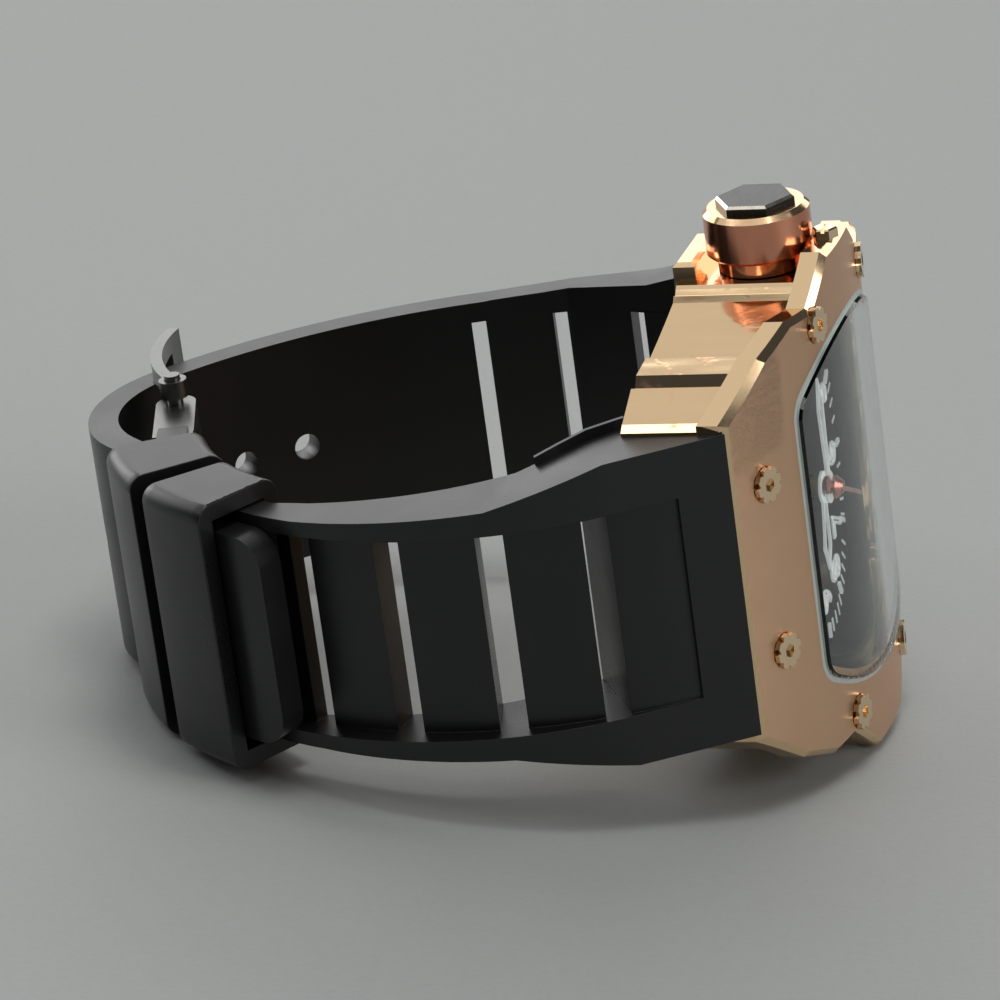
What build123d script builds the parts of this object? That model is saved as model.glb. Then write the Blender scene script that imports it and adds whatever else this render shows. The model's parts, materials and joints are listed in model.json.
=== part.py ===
from build123d import *
import os
from math import acos, asin, atan2, cos, degrees, radians, sin, sqrt

os.makedirs("parts", exist_ok=True)

# A tonneau wristwatch, buckled into a ring and lying on its 9 o'clock side.
# X points out of the dial, Y points to 6 o'clock and Z points up to the crown.
# The origin is the middle of the flat that the case rests on.
# Places along X are counted from the crown axis, which stands behind that flat.

# Case
case_half_length = 24.7
case_end_half_width = 16.4
guard_half_width = 25.8
guard_half_length = 4.4
rest_x = 6.2
land_half_width = 23.1
front_radius = 52.0
back_radius = 220.0
front_end_x = 1.5
back_end_x = -8.6
bezel_thickness = 2.4
bezel_bevel = 0.6
overrun = 1.0

# Window and crystal
window_half_length = 14.6
window_end_half_width = 13.6
window_half_width = 18.2
window_corner = 2.8
crystal_thickness = 1.6
crystal_proud = 0.45
crystal_edge_chamfer = 0.25
ledge_width = 0.9
seal_width = 0.4

# Inside of the case
cavity_margin = 0.8
cavity_radius = 15.2
dial_back_x = 1.4
dial_thickness = 0.5
dial_hole_radius = 1.3
dial_clearance = 0.1
chapter_width = 1.1
chapter_chamfer = 0.3
index_half_length = 11.8
index_half_width = 15.2
index_length = 1.5
index_width = 0.45
index_height = 0.3
movement_radius = 12.9
movement_front_gap = 0.5
movement_thickness = 3.2
movement_cover_thickness = 0.6
movement_clearance = 0.05
ring_lip_width = 1.4
movement_rim_width = 0.7
battery_radius = 4.75
battery_height = 1.6
battery_offset = 6.4

# Back
back_plate_thickness = 1.8
back_plate_half_length = 20.2
back_plate_half_width = 19.2
back_plate_corner = 8.0
back_plate_clearance = 0.05
back_seal_radius = 16.4
back_seal_width = 0.8
back_seal_height = 0.5
back_screw_half_length = 17.6
back_screw_half_width = 12.4
back_screw_head_radius = 1.1
back_screw_head_height = 0.6
back_screw_shank_radius = 0.6
back_screw_length = 3.2

# Screws
screw_head_radius = 1.75
screw_head_height = 0.9
screw_head_sink = 0.35
screw_notch_depth = 0.35
screw_lobe_count = 8
screw_socket_radius = 0.7
screw_socket_depth = 0.5
screw_shank_radius = 0.7
screw_shank_length = 4.6
screw_clearance = 0.05
end_screw_across = 8.5
end_screw_along = 20.4
side_screw_across = 20.1
side_screw_along = 8.9
slot_width = 0.35
slot_depth = 0.35
guard_screw_x = 6.6
guard_screw_radius = 1.25
guard_screw_bevel = 0.15
guard_screw_height = 1.0
guard_screw_shank = 0.55
guard_screw_length = 3.0

# Crown
crown_radius = 5.2
crown_length = 4.7
crown_base_gap = 0.1
crown_neck_radius = 4.2
crown_neck_length = 1.5
crown_rim_chamfer = 0.5
crown_foot_chamfer = 0.3
crown_bore_depth = 4.0
crown_cap_radius = 3.95
crown_cap_height = 0.8
crown_cap_chamfer = 0.25
crown_cap_boss_radius = 2.6
crown_cap_boss_depth = 0.8
crown_clearance = 0.3
crown_pull = 1.2
tube_radius = 1.35
tube_bore_radius = 0.9
tube_seat_depth = 4.0
tube_rise = 3.7
tube_chamfer = 0.15
stem_radius = 0.6
stem_fit = 0.05
stem_hole_gap = 0.3
stem_top_depth = 1.4
stem_end_across = 10.3
stem_groove_radius = 0.4
oring_radius = 2.0
oring_height = 0.6
oring_rise = 1.4
guard_block_width = 2.2
guard_block_height = 1.9
guard_block_chamfer = 0.4
lever_across = 10.9
lever_thickness = 0.4
lever_half_width = 1.3
lever_half_height = 1.1
lever_play = 0.1

# Hands
hour_post_radius = 1.0
minute_post_radius = 0.72
second_post_radius = 0.4
post_fit = 0.04
hand_thickness = 0.25
hand_gap = 0.35
first_hand_rise = 0.9
hour_wheel_radius = 2.6
hour_wheel_thickness = 0.25
hour_post_depth = 0.35
minute_post_depth = 2.1
second_post_depth = 2.6
hour_hand_length = 8.4
minute_hand_length = 11.4
second_hand_length = 11.8
second_tail_length = 3.6
hour_hand_width = 2.6
minute_hand_width = 2.1
second_hand_width = 0.45
hand_frame_width = 0.4
hand_shoulder_share = 0.72
hub_radius = 1.6
hub_cap_radius = 1.15
hub_cap_height = 0.6
hour_hand_angle = 277.5
minute_hand_angle = 90.0
second_hand_angle = 205.0

# Strap ring
seam_radius = 33.5
ring_across_share = 0.8627
ring_along_share = 0.615
layer_thickness = 3.0
layer_gap = 0.1
inner_shift_share = 0.23
inner_drop = 5.6
back_arc_rise = 3.9
back_arc_lead = 9.4
curl_radius = 15.0
curl_reach = 5.0
curl_drop = 0.3
joggle_radius = 10.0
tail_tip_angle = 67.6
tail_tip_radius = 3.0
tail_half_width = 10.6
tail_step_angle = 46.0
tail_past_angle = 4.0
short_end_angle = 12.0
strap_end_gap = 0.05
strap_root_half_width = 15.4
strap_mid_half_width = 12.6
strap_tail_half_width = 11.7
strap_mid_x = -18.5
strap_tail_x = -36.0
strap_end_taper = 0.1
root_inner_share = 0.72
strap_root_inner_y = -21.5
long_root_inner_y = 22.4
long_root_end_x = -27.0

# Ladder
ladder_half_height = 10.2
long_ladder_half_height = 9.6
floor_shift = 7.0
floor_shift_angle = 80.0
floor_rise = 4.6
floor_end_angle = 11.0
ladder_start_angle = 66.0
long_recess_depth = 1.1
long_recess_start_angle = -10.5
long_recess_end_angle = 26.0
slot_gap = 2.4
slot_first_angle = 72.6
slot_step_angle = 16.5
slot_count = 4
long_slot_first_angle = -5.7
long_slot_step_angle = 8.4
long_slot_count = 4
hole_radius = 1.35
hole_first_angle = 39.1
hole_step = 7.0
hole_back_count = 2
hole_curl_count = 3
lug_half_width = 9.0
lug_length = 1.6
lug_thickness = 3.0
lug_x = -6.0
lug_clearance = 0.1
strap_pin_radius = 0.5
strap_pin_half_length = 12.6
strap_pin_out = 0.8

# Keepers
keeper_wall = 1.8
keeper_clearance = 0.15
keeper_corner = 1.7
fixed_keeper_start_angle = 26.0
fixed_keeper_end_angle = 40.3
free_keeper_start_angle = 44.6
free_keeper_end_angle = 59.3

# Buckle
end_piece_radius = 2.0
end_piece_lip = 0.5
end_piece_half_height = 11.3
end_piece_overlap_angle = 2.5
window_size = 1.8
window_across = 8.9
window_angle = 5.5
bar_rise = 0.2
bar_angle = -1.7
bar_radius = 0.8
bar_fit = 0.06
bar_half_length = 14.3
frame_reach = 15.4
frame_heading = 108.5
frame_bow = 1.7
frame_thickness = 1.2
frame_arm_height = 1.8
frame_side_gap = 0.3
frame_end_width = 2.6
frame_eye_radius = 1.4
tongue_half_width = 0.95
tongue_eye_radius = 1.5
tongue_rod_radius = 0.6
tongue_slot_gap = 0.3
tongue_rest_gap = 0.05
tongue_tip_past = 2.4
tongue_tip_fillet = 0.4

# Places worked out from the sizes
mid_z = guard_half_width
ring_center_x = front_end_x - ring_across_share * seam_radius
ring_center_y = ring_along_share * seam_radius - case_half_length
middle = Vector(-rest_x, 0, mid_z)
face = Plane(origin=middle, x_dir=(0, 0, 1), z_dir=(1, 0, 0))
side = Plane(origin=middle, z_dir=(0, 0, 1))
plan = Plane(origin=middle, x_dir=(1, 0, 0), z_dir=(0, -1, 0))
ring_axis = Axis(middle + Vector(ring_center_x, ring_center_y), (0, 0, 1))
ring_center = Vector(ring_center_x, ring_center_y)
front_center_x = front_end_x - sqrt(front_radius**2 - case_half_length**2)
back_center_x = back_end_x - sqrt(back_radius**2 - case_half_length**2)
back_mid_x = back_center_x + back_radius
front_mid_x = front_center_x + front_radius
dial_x = dial_back_x + dial_thickness
tail_radius = seam_radius + layer_gap + layer_thickness
slab_reach = guard_half_width + overrun


def front_x(along, drop=0):
    """X of the curved front at a distance along 12 to 6, less a drop."""
    return front_center_x + sqrt((front_radius - drop) ** 2 - along**2)


def four_way(quarter):
    """Repeat the points of one quarter of an outline round all four."""
    right = quarter + [(x, -y) for x, y in reversed(quarter)]
    return right + [(-x, -y) for x, y in right]


def curved_slab(outer_x, outer_radius, inner_x, inner_radius_here):
    """Side profile between two arcs, each given by its centre and radius."""
    half = case_half_length + overrun
    outer_end = outer_x + sqrt(outer_radius**2 - half**2)
    inner_end = inner_x + sqrt(inner_radius_here**2 - half**2)
    with BuildSketch(side) as slab:
        with BuildLine():
            ThreePointArc((outer_end, half), (outer_x + outer_radius, 0), (outer_end, -half))
            ThreePointArc((inner_end, half), (inner_x + inner_radius_here, 0), (inner_end, -half))
            Line((outer_end, half), (inner_end, half))
            Line((outer_end, -half), (inner_end, -half))
        make_face()
    return slab.sketch


def front_slab(outer_drop, inner_drop):
    """Slab between two drops below the curved front."""
    return curved_slab(front_center_x, front_radius - outer_drop, front_center_x, front_radius - inner_drop)


def window_outline(margin):
    """Window that bulges to 3 and 9 o'clock, grown by a margin."""
    half_length = window_half_length + margin
    half_width = window_half_width + margin
    end_half_width = window_end_half_width + margin
    with BuildSketch() as outline:
        with BuildLine():
            ThreePointArc((end_half_width, half_length), (half_width, 0), (end_half_width, -half_length))
            Line((end_half_width, -half_length), (-end_half_width, -half_length))
            ThreePointArc((-end_half_width, -half_length), (-half_width, 0), (-end_half_width, half_length))
            Line((-end_half_width, half_length), (end_half_width, half_length))
        make_face()
        fillet(outline.vertices(), window_corner + margin)
    return outline.sketch


def ring_point(radius, angle):
    """Point round the strap ring, with the angle from -X towards 12 o'clock."""
    return ring_center + Vector(-radius * cos(radians(angle)), -radius * sin(radians(angle)))


def ring_plane(angle):
    """Plane through the ring axis, with x outwards and z along the strap."""
    turn = radians(angle)
    outward = (-cos(turn), -sin(turn), 0)
    return Plane(origin=middle + ring_center, x_dir=outward, z_dir=(sin(turn), -cos(turn), 0))


def circle_crossing(first, first_radius, second, second_radius):
    """Crossing of two circles that lies to the right of first to second."""
    span = second - first
    reach = (span.length**2 + first_radius**2 - second_radius**2) / (2 * span.length)
    rise = sqrt(first_radius**2 - reach**2)
    along = span.normalized()
    return first + along * reach + Vector(along.Y, -along.X) * rise


def heading(start, end):
    """Direction from one point to another, in degrees from +X."""
    return degrees(atan2(end.Y - start.Y, end.X - start.X))


# Outlines of bezel and band, as shares of the end half width and half length
bezel_across_shares = [0.985, 1.015, 1.25, 1.36, 1.34]
bezel_along_shares = [1.0, 0.972, 0.757, 0.559, 0.381]
flank_across_shares = [0.95, 0.99, 1.134, 1.107, 1.113, 1.177, 1.213, 1.18, 1.335, 1.369, 1.36, 1.39]
flank_along_shares = [1.0, 0.976, 0.846, 0.826, 0.806, 0.781, 0.66, 0.632, 0.279, 0.263, 0.243, 0.227]
land_end_share = 1.2

bezel_quarter = [
    (case_end_half_width * across, case_half_length * along)
    for across, along in zip(bezel_across_shares, bezel_along_shares)
]
bezel_quarter.append((guard_half_width, guard_half_length))
flank_quarter = [
    (case_end_half_width * across, case_half_length * along)
    for across, along in zip(flank_across_shares, flank_along_shares)
]
flank_quarter.append((land_half_width, guard_half_length * land_end_share))

end_screw_places = [(x * end_screw_across, y * end_screw_along) for x in (-1, 1) for y in (-1, 1)]
side_screw_places = [(x * side_screw_across, y * side_screw_along) for x in (-1, 1) for y in (-1, 1)]
back_screw_places = [
    (x * back_screw_half_width, y * back_screw_half_length) for x in (-1, 1) for y in (-1, 1)
]


def screw_plane(across, along):
    """Plane on the curved front over a screw, with its normal outwards."""
    tilt = asin(along / front_radius)
    place = middle + Vector(front_x(along), -along, across)
    return Plane(origin=place, x_dir=(0, 0, 1), z_dir=(cos(tilt), -sin(tilt), 0))


screw_planes = [screw_plane(x, y) for x, y in end_screw_places + side_screw_places]

# Pocket in the bezel for crystal and seal
with BuildPart() as window_pocket:
    with BuildSketch(face):
        add(window_outline(seal_width))
    extrude(amount=front_mid_x + overrun)
    extrude(
        front_slab(-overrun, crystal_thickness - crystal_proud),
        amount=slab_reach,
        both=True,
        mode=Mode.INTERSECT,
    )

# Bezel
with BuildPart() as bezel:
    with BuildSketch(face.offset(back_end_x)):
        Polygon(*four_way(bezel_quarter), align=None)
    extrude(amount=front_mid_x - back_end_x + overrun)
    extrude(front_slab(0, bezel_thickness), amount=slab_reach, both=True, mode=Mode.INTERSECT)
    front_skin = bezel.faces().filter_by(GeomType.CYLINDER).sort_by(Axis.X)[-1]
    chamfer(front_skin.outer_wire().edges(), bezel_bevel)
    with BuildSketch(face):
        add(window_outline(-ledge_width))
    extrude(amount=front_mid_x + overrun, mode=Mode.SUBTRACT)
    add(window_pocket.part, mode=Mode.SUBTRACT)
    with BuildSketch(side.offset(land_half_width - overrun)):
        Circle(crown_radius + crown_clearance)
    extrude(amount=guard_half_width, mode=Mode.SUBTRACT)
    with Locations(*screw_planes):
        CounterBoreHole(
            screw_shank_radius,
            screw_head_radius + screw_clearance,
            screw_head_sink,
            screw_head_sink + screw_shank_length,
        )
    with Locations(side.offset(guard_half_width)):
        with Locations((guard_screw_x, 0)):
            Hole(guard_screw_shank, guard_screw_length)
bezel.part.label = "bezel"
export_step(bezel.part, "parts/bezel.step")

# Case middle: stepped flanks, crown guard, end lugs and a stepped bore
lug_plane = Plane(origin=middle + Vector(lug_x, 0), x_dir=(1, 0, 0), z_dir=(0, 1, 0))
pin_y = case_half_length + strap_pin_out
recess_x = back_mid_x + back_plate_thickness
with BuildPart() as case_middle:
    with BuildSketch(face.offset(back_end_x)):
        Polygon(*four_way(flank_quarter), align=None)
    extrude(amount=front_mid_x - back_end_x)
    extrude(
        curved_slab(front_center_x, front_radius - bezel_thickness, back_center_x, back_radius),
        amount=slab_reach,
        both=True,
        mode=Mode.INTERSECT,
    )
    with BuildSketch(side.offset(land_half_width - overrun)):
        with Locations((-crown_radius - crown_clearance - guard_block_width / 2, 0)):
            Rectangle(guard_block_width, 2 * guard_half_length)
    extrude(amount=guard_block_height + overrun)
    block_top = case_middle.faces().sort_by(Axis.Z)[-1]
    chamfer(block_top.edges(), guard_block_chamfer)
    with BuildSketch(lug_plane):
        Rectangle(lug_thickness, 2 * lug_half_width)
    extrude(amount=case_half_length + lug_length, both=True)
    with BuildSketch(face.offset(back_end_x - overrun)):
        Circle(cavity_radius)
    extrude(amount=dial_back_x - back_end_x + overrun, mode=Mode.SUBTRACT)
    with BuildSketch(face.offset(dial_back_x)):
        add(window_outline(cavity_margin))
    extrude(amount=front_mid_x, mode=Mode.SUBTRACT)
    with BuildSketch(face.offset(back_end_x - overrun)):
        RectangleRounded(2 * back_plate_half_width, 2 * back_plate_half_length, back_plate_corner)
    extrude(amount=recess_x - back_end_x + overrun, mode=Mode.SUBTRACT)
    with Locations(side.offset(land_half_width)):
        CounterBoreHole(tube_bore_radius, tube_radius, tube_seat_depth, land_half_width - movement_radius)
    with Locations(*screw_planes):
        Hole(screw_shank_radius, screw_head_sink + screw_shank_length)
    with BuildSketch(face.offset(recess_x)):
        Circle(back_seal_radius + back_seal_width / 2)
        Circle(back_seal_radius - back_seal_width / 2, mode=Mode.SUBTRACT)
    extrude(amount=back_seal_height, mode=Mode.SUBTRACT)
    with Locations(face.offset(recess_x)):
        with Locations(*back_screw_places):
            Cylinder(back_screw_shank_radius, 2 * back_screw_length, mode=Mode.SUBTRACT)
    with BuildSketch(side):
        with Locations((lug_x, -pin_y), (lug_x, pin_y)):
            Circle(strap_pin_radius)
    extrude(amount=strap_pin_half_length, both=True, mode=Mode.SUBTRACT)
case_middle.part.label = "case_middle"
export_step(case_middle.part, "parts/case_middle.step")

# Back plate with countersunk seats for its screws
with BuildPart() as case_back:
    with BuildSketch(face.offset(back_end_x)):
        RectangleRounded(
            2 * (back_plate_half_width - back_plate_clearance),
            2 * (back_plate_half_length - back_plate_clearance),
            back_plate_corner - back_plate_clearance,
        )
    extrude(amount=recess_x - back_end_x)
    extrude(
        curved_slab(front_center_x, front_radius, back_center_x, back_radius),
        amount=slab_reach,
        both=True,
        mode=Mode.INTERSECT,
    )
    with BuildSketch(face.offset(back_end_x)):
        with Locations(*back_screw_places):
            Circle(back_screw_head_radius + screw_clearance)
    extrude(amount=back_mid_x - back_end_x, mode=Mode.SUBTRACT)
    with BuildSketch(face.offset(back_end_x)):
        with Locations(*back_screw_places):
            Circle(back_screw_shank_radius)
    extrude(amount=recess_x - back_end_x, mode=Mode.SUBTRACT)
case_back.part.label = "case_back"
export_step(case_back.part, "parts/case_back.step")

# Flat seal in a groove behind the back plate
with BuildPart() as back_gasket:
    with BuildSketch(face.offset(recess_x)):
        Circle(back_seal_radius + back_seal_width / 2)
        Circle(back_seal_radius - back_seal_width / 2, mode=Mode.SUBTRACT)
    extrude(amount=back_seal_height)
back_gasket.part.label = "back_gasket"
export_step(back_gasket.part, "parts/back_gasket.step")

# Screws of the back plate, slotted
with BuildPart() as case_back_screws:
    with BuildSketch(face.offset(back_mid_x)):
        with Locations(*back_screw_places):
            Circle(back_screw_head_radius)
    extrude(amount=-back_screw_head_height)
    with BuildSketch(face.offset(back_mid_x)):
        with Locations(*back_screw_places):
            Circle(back_screw_shank_radius)
    extrude(amount=back_screw_length)
    with BuildSketch(face.offset(back_mid_x - back_screw_head_height)):
        with Locations(*back_screw_places):
            Rectangle(2 * back_screw_head_radius, slot_width)
    extrude(amount=slot_depth, mode=Mode.SUBTRACT)
case_back_screws.part.label = "case_back_screws"
export_step(case_back_screws.part, "parts/case_back_screws.step")

# Crystal, curved along 12 to 6
with BuildPart() as crystal:
    with BuildSketch(face):
        add(window_outline(0))
    extrude(amount=front_mid_x + overrun)
    extrude(
        front_slab(-crystal_proud, crystal_thickness - crystal_proud),
        amount=slab_reach,
        both=True,
        mode=Mode.INTERSECT,
    )
    crystal_top = crystal.faces().filter_by(GeomType.CYLINDER).sort_by(Axis.X)[-1]
    chamfer(crystal_top.outer_wire().edges(), crystal_edge_chamfer)
crystal.part.label = "crystal"
export_step(crystal.part, "parts/crystal.step")

# Seal between crystal and bezel
with BuildPart() as front_gasket:
    with BuildSketch(face):
        add(window_outline(seal_width))
        add(window_outline(0), mode=Mode.SUBTRACT)
    extrude(amount=front_mid_x + overrun)
    extrude(
        front_slab(0, crystal_thickness - crystal_proud), amount=slab_reach, both=True, mode=Mode.INTERSECT
    )
front_gasket.part.label = "front_gasket"
export_step(front_gasket.part, "parts/front_gasket.step")

# Dial on the shelf of the case
with BuildPart() as dial:
    with BuildSketch(face.offset(dial_back_x)):
        add(window_outline(cavity_margin - dial_clearance))
        Circle(dial_hole_radius, mode=Mode.SUBTRACT)
    extrude(amount=dial_thickness)
dial.part.label = "dial"
export_step(dial.part, "parts/dial.step")

# Flange between dial and bezel that carries the minute track
with BuildPart() as chapter_ring:
    with BuildSketch(face.offset(dial_x)):
        add(window_outline(cavity_margin - dial_clearance))
        add(window_outline(-ledge_width - chapter_width), mode=Mode.SUBTRACT)
    extrude(amount=front_mid_x)
    extrude(
        curved_slab(front_center_x, front_radius - bezel_thickness, back_center_x, back_radius),
        amount=slab_reach,
        both=True,
        mode=Mode.INTERSECT,
    )
    flange_top = chapter_ring.faces().filter_by(GeomType.CYLINDER).sort_by(Axis.X)[-1]
    chamfer(flange_top.inner_wires()[0].edges(), chapter_chamfer)
chapter_ring.part.label = "chapter_ring"
export_step(chapter_ring.part, "parts/chapter_ring.step")

# Hour bars, set round an oval
index_places = []
for hour in range(12):
    turn = radians(hour * 30)
    place = middle + Vector(dial_x, -index_half_length * cos(turn), index_half_width * sin(turn))
    index_places.append(Plane(origin=place, x_dir=(0, sin(turn), cos(turn)), z_dir=(1, 0, 0)))
with BuildPart() as applied_indices:
    for place in index_places:
        with BuildSketch(place):
            Rectangle(index_width, index_length)
        extrude(amount=index_height)
applied_indices.part.label = "applied_indices"
export_step(applied_indices.part, "parts/applied_indices.step")

# Hands: open frames on hubs, and the posts that carry them
hour_x = dial_x + first_hand_rise
minute_x = hour_x + hand_thickness + hand_gap
second_x = minute_x + hand_thickness + hand_gap
movement_front = dial_back_x - movement_front_gap


def hand_direction(angle):
    """Direction of a hand turned clockwise from 12 o'clock."""
    return Vector(sin(radians(angle)), cos(radians(angle)))


def open_hand(angle, length, width):
    """Pointed outline with an open middle, from the hub to the tip."""
    along = hand_direction(angle)
    across = Vector(along.Y, -along.X)
    root = along * hub_radius / 2
    shoulder = along * length * hand_shoulder_share
    shape = [root + across * width / 4, shoulder + across * width / 2, along * length]
    shape += [shoulder - across * width / 2, root - across * width / 4]
    with BuildSketch() as outline:
        Polygon(*[(p.X, p.Y) for p in shape], align=None)
        offset(amount=-hand_frame_width, mode=Mode.SUBTRACT)
        Circle(hub_radius)
    return outline.sketch


with BuildPart() as hour_hand:
    with BuildSketch(face.offset(hour_x)):
        add(open_hand(hour_hand_angle, hour_hand_length, hour_hand_width))
        Circle(hour_post_radius, mode=Mode.SUBTRACT)
    extrude(amount=hand_thickness)
hour_hand.part.label = "hour_hand"
export_step(hour_hand.part, "parts/hour_hand.step")

with BuildPart() as minute_hand:
    with BuildSketch(face.offset(minute_x)):
        add(open_hand(minute_hand_angle, minute_hand_length, minute_hand_width))
        Circle(minute_post_radius, mode=Mode.SUBTRACT)
    extrude(amount=hand_thickness)
minute_hand.part.label = "minute_hand"
export_step(minute_hand.part, "parts/minute_hand.step")

second_along = hand_direction(second_hand_angle)
with BuildPart() as second_hand:
    with BuildSketch(face.offset(second_x)):
        with BuildLine():
            tail_end = second_along * -second_tail_length
            tip_end = second_along * second_hand_length
            Line((tail_end.X, tail_end.Y), (tip_end.X, tip_end.Y))
        trace(line_width=second_hand_width)
        Circle(hub_cap_radius)
        with Locations((tail_end.X, tail_end.Y)):
            Circle(2 * second_hand_width)
    extrude(amount=hand_thickness)
    with BuildSketch(face.offset(second_x + hand_thickness)):
        Circle(hub_cap_radius)
    extrude(amount=hub_cap_height, taper=degrees(atan2(hub_cap_radius / 2, hub_cap_height)))
    with BuildSketch(face.offset(second_x)):
        Circle(second_post_radius)
    extrude(amount=hand_thickness, mode=Mode.SUBTRACT)
second_hand.part.label = "second_hand"
export_step(second_hand.part, "parts/second_hand.step")

with BuildPart() as hour_wheel:
    with BuildSketch(face.offset(movement_front + post_fit)):
        Circle(hour_wheel_radius)
        Circle(minute_post_radius + post_fit, mode=Mode.SUBTRACT)
    extrude(amount=hour_wheel_thickness)
    with BuildSketch(face.offset(movement_front + post_fit)):
        Circle(hour_post_radius)
        Circle(minute_post_radius + post_fit, mode=Mode.SUBTRACT)
    extrude(amount=hour_x + hand_thickness - movement_front - post_fit)
hour_wheel.part.label = "hour_wheel"
export_step(hour_wheel.part, "parts/hour_wheel.step")

with BuildPart() as cannon_pinion:
    with BuildSketch(face.offset(movement_front - minute_post_depth)):
        Circle(minute_post_radius)
        Circle(second_post_radius + post_fit, mode=Mode.SUBTRACT)
    extrude(amount=minute_x + hand_thickness - movement_front + minute_post_depth)
cannon_pinion.part.label = "cannon_pinion"
export_step(cannon_pinion.part, "parts/cannon_pinion.step")

with BuildPart() as seconds_pinion:
    with BuildSketch(face.offset(movement_front - second_post_depth)):
        Circle(second_post_radius)
    extrude(amount=second_x + hand_thickness - movement_front + second_post_depth)
seconds_pinion.part.label = "seconds_pinion"
export_step(seconds_pinion.part, "parts/seconds_pinion.step")

# Movement: plate with a rim under the dial, cover, cell and holding ring
movement_back = movement_front - movement_thickness
cover_back = movement_back - movement_cover_thickness
lever_pocket = side.offset(lever_across - lever_thickness / 2 - lever_play)
with BuildPart() as movement_plate:
    with BuildSketch(face.offset(movement_back)):
        Circle(movement_radius)
    extrude(amount=movement_thickness)
    with BuildSketch(face.offset(movement_front)):
        Circle(movement_radius)
        Circle(movement_radius - movement_rim_width, mode=Mode.SUBTRACT)
    extrude(amount=movement_front_gap)
    with Locations(face.offset(movement_front)):
        CounterBoreHole(
            second_post_radius + post_fit,
            minute_post_radius + post_fit,
            minute_post_depth + post_fit,
            second_post_depth + post_fit,
        )
    with BuildSketch(face.offset(movement_back)):
        with Locations((0, -battery_offset)):
            Circle(battery_radius + movement_clearance)
    extrude(amount=battery_height, mode=Mode.SUBTRACT)
    with BuildSketch(side.offset(stem_end_across - stem_hole_gap)):
        Circle(stem_radius + stem_fit)
    extrude(amount=movement_radius, mode=Mode.SUBTRACT)
    with BuildSketch(lever_pocket):
        Rectangle(2 * (lever_half_height + lever_play), 2 * (lever_half_width + lever_play))
    extrude(amount=lever_thickness + crown_pull + 2 * lever_play, mode=Mode.SUBTRACT)
movement_plate.part.label = "movement_plate"
export_step(movement_plate.part, "parts/movement_plate.step")

with BuildPart() as movement_cover:
    with BuildSketch(face.offset(cover_back)):
        Circle(movement_radius)
    extrude(amount=movement_cover_thickness)
movement_cover.part.label = "movement_cover"
export_step(movement_cover.part, "parts/movement_cover.step")

with BuildPart() as battery_cell:
    with BuildSketch(face.offset(movement_back)):
        with Locations((0, -battery_offset)):
            Circle(battery_radius)
    extrude(amount=battery_height)
battery_cell.part.label = "battery_cell"
export_step(battery_cell.part, "parts/battery_cell.step")

with BuildPart() as movement_ring:
    with BuildSketch(face.offset(recess_x + movement_clearance)):
        Circle(cavity_radius - movement_clearance)
        Circle(movement_radius - ring_lip_width, mode=Mode.SUBTRACT)
    extrude(amount=cover_back - recess_x - movement_clearance)
    with BuildSketch(face.offset(cover_back)):
        Circle(cavity_radius - movement_clearance)
        Circle(movement_radius + movement_clearance, mode=Mode.SUBTRACT)
    extrude(amount=dial_back_x - cover_back)
    with BuildSketch(side):
        Circle(stem_radius + stem_hole_gap)
    extrude(amount=cavity_radius + overrun, mode=Mode.SUBTRACT)
movement_ring.part.label = "movement_ring"
export_step(movement_ring.part, "parts/movement_ring.step")

# Front screws: notched heads with six-sided sockets
lobe_step = 360 / screw_lobe_count
head_outline = []
for turn in range(screw_lobe_count):
    for inset, share in ((0, 0), (0, 0.5), (screw_notch_depth, 0.75)):
        direction = radians(lobe_step * (turn + share))
        head_outline.append(
            ((screw_head_radius - inset) * cos(direction), (screw_head_radius - inset) * sin(direction))
        )
with BuildPart() as bezel_screws:
    for plane in screw_planes:
        seat = plane.offset(-screw_head_sink)
        with BuildSketch(seat):
            Polygon(*head_outline, align=None)
        extrude(amount=screw_head_height)
        with BuildSketch(seat):
            Circle(screw_shank_radius)
        extrude(amount=-screw_shank_length)
        with BuildSketch(seat.offset(screw_head_height)):
            RegularPolygon(screw_socket_radius, 6)
        extrude(amount=-screw_socket_depth, mode=Mode.SUBTRACT)
bezel_screws.part.label = "bezel_screws"
export_step(bezel_screws.part, "parts/bezel_screws.step")

# Slotted screw of the crown guard
guard_top = Plane(origin=middle + Vector(guard_screw_x, 0, guard_half_width), z_dir=(0, 0, 1))
with BuildPart() as guard_screw:
    with BuildSketch(guard_top):
        RegularPolygon(guard_screw_radius, 6)
    extrude(amount=guard_screw_height)
    chamfer(guard_screw.edges().group_by(Axis.Z)[-1], guard_screw_bevel)
    with BuildSketch(guard_top):
        Circle(guard_screw_shank)
    extrude(amount=-guard_screw_length)
    with BuildSketch(guard_top.offset(guard_screw_height)):
        Rectangle(slot_width, 2 * guard_screw_radius)
    extrude(amount=-slot_depth, mode=Mode.SUBTRACT)
guard_screw.part.label = "guard_screw"
export_step(guard_screw.part, "parts/guard_screw.step")

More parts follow.
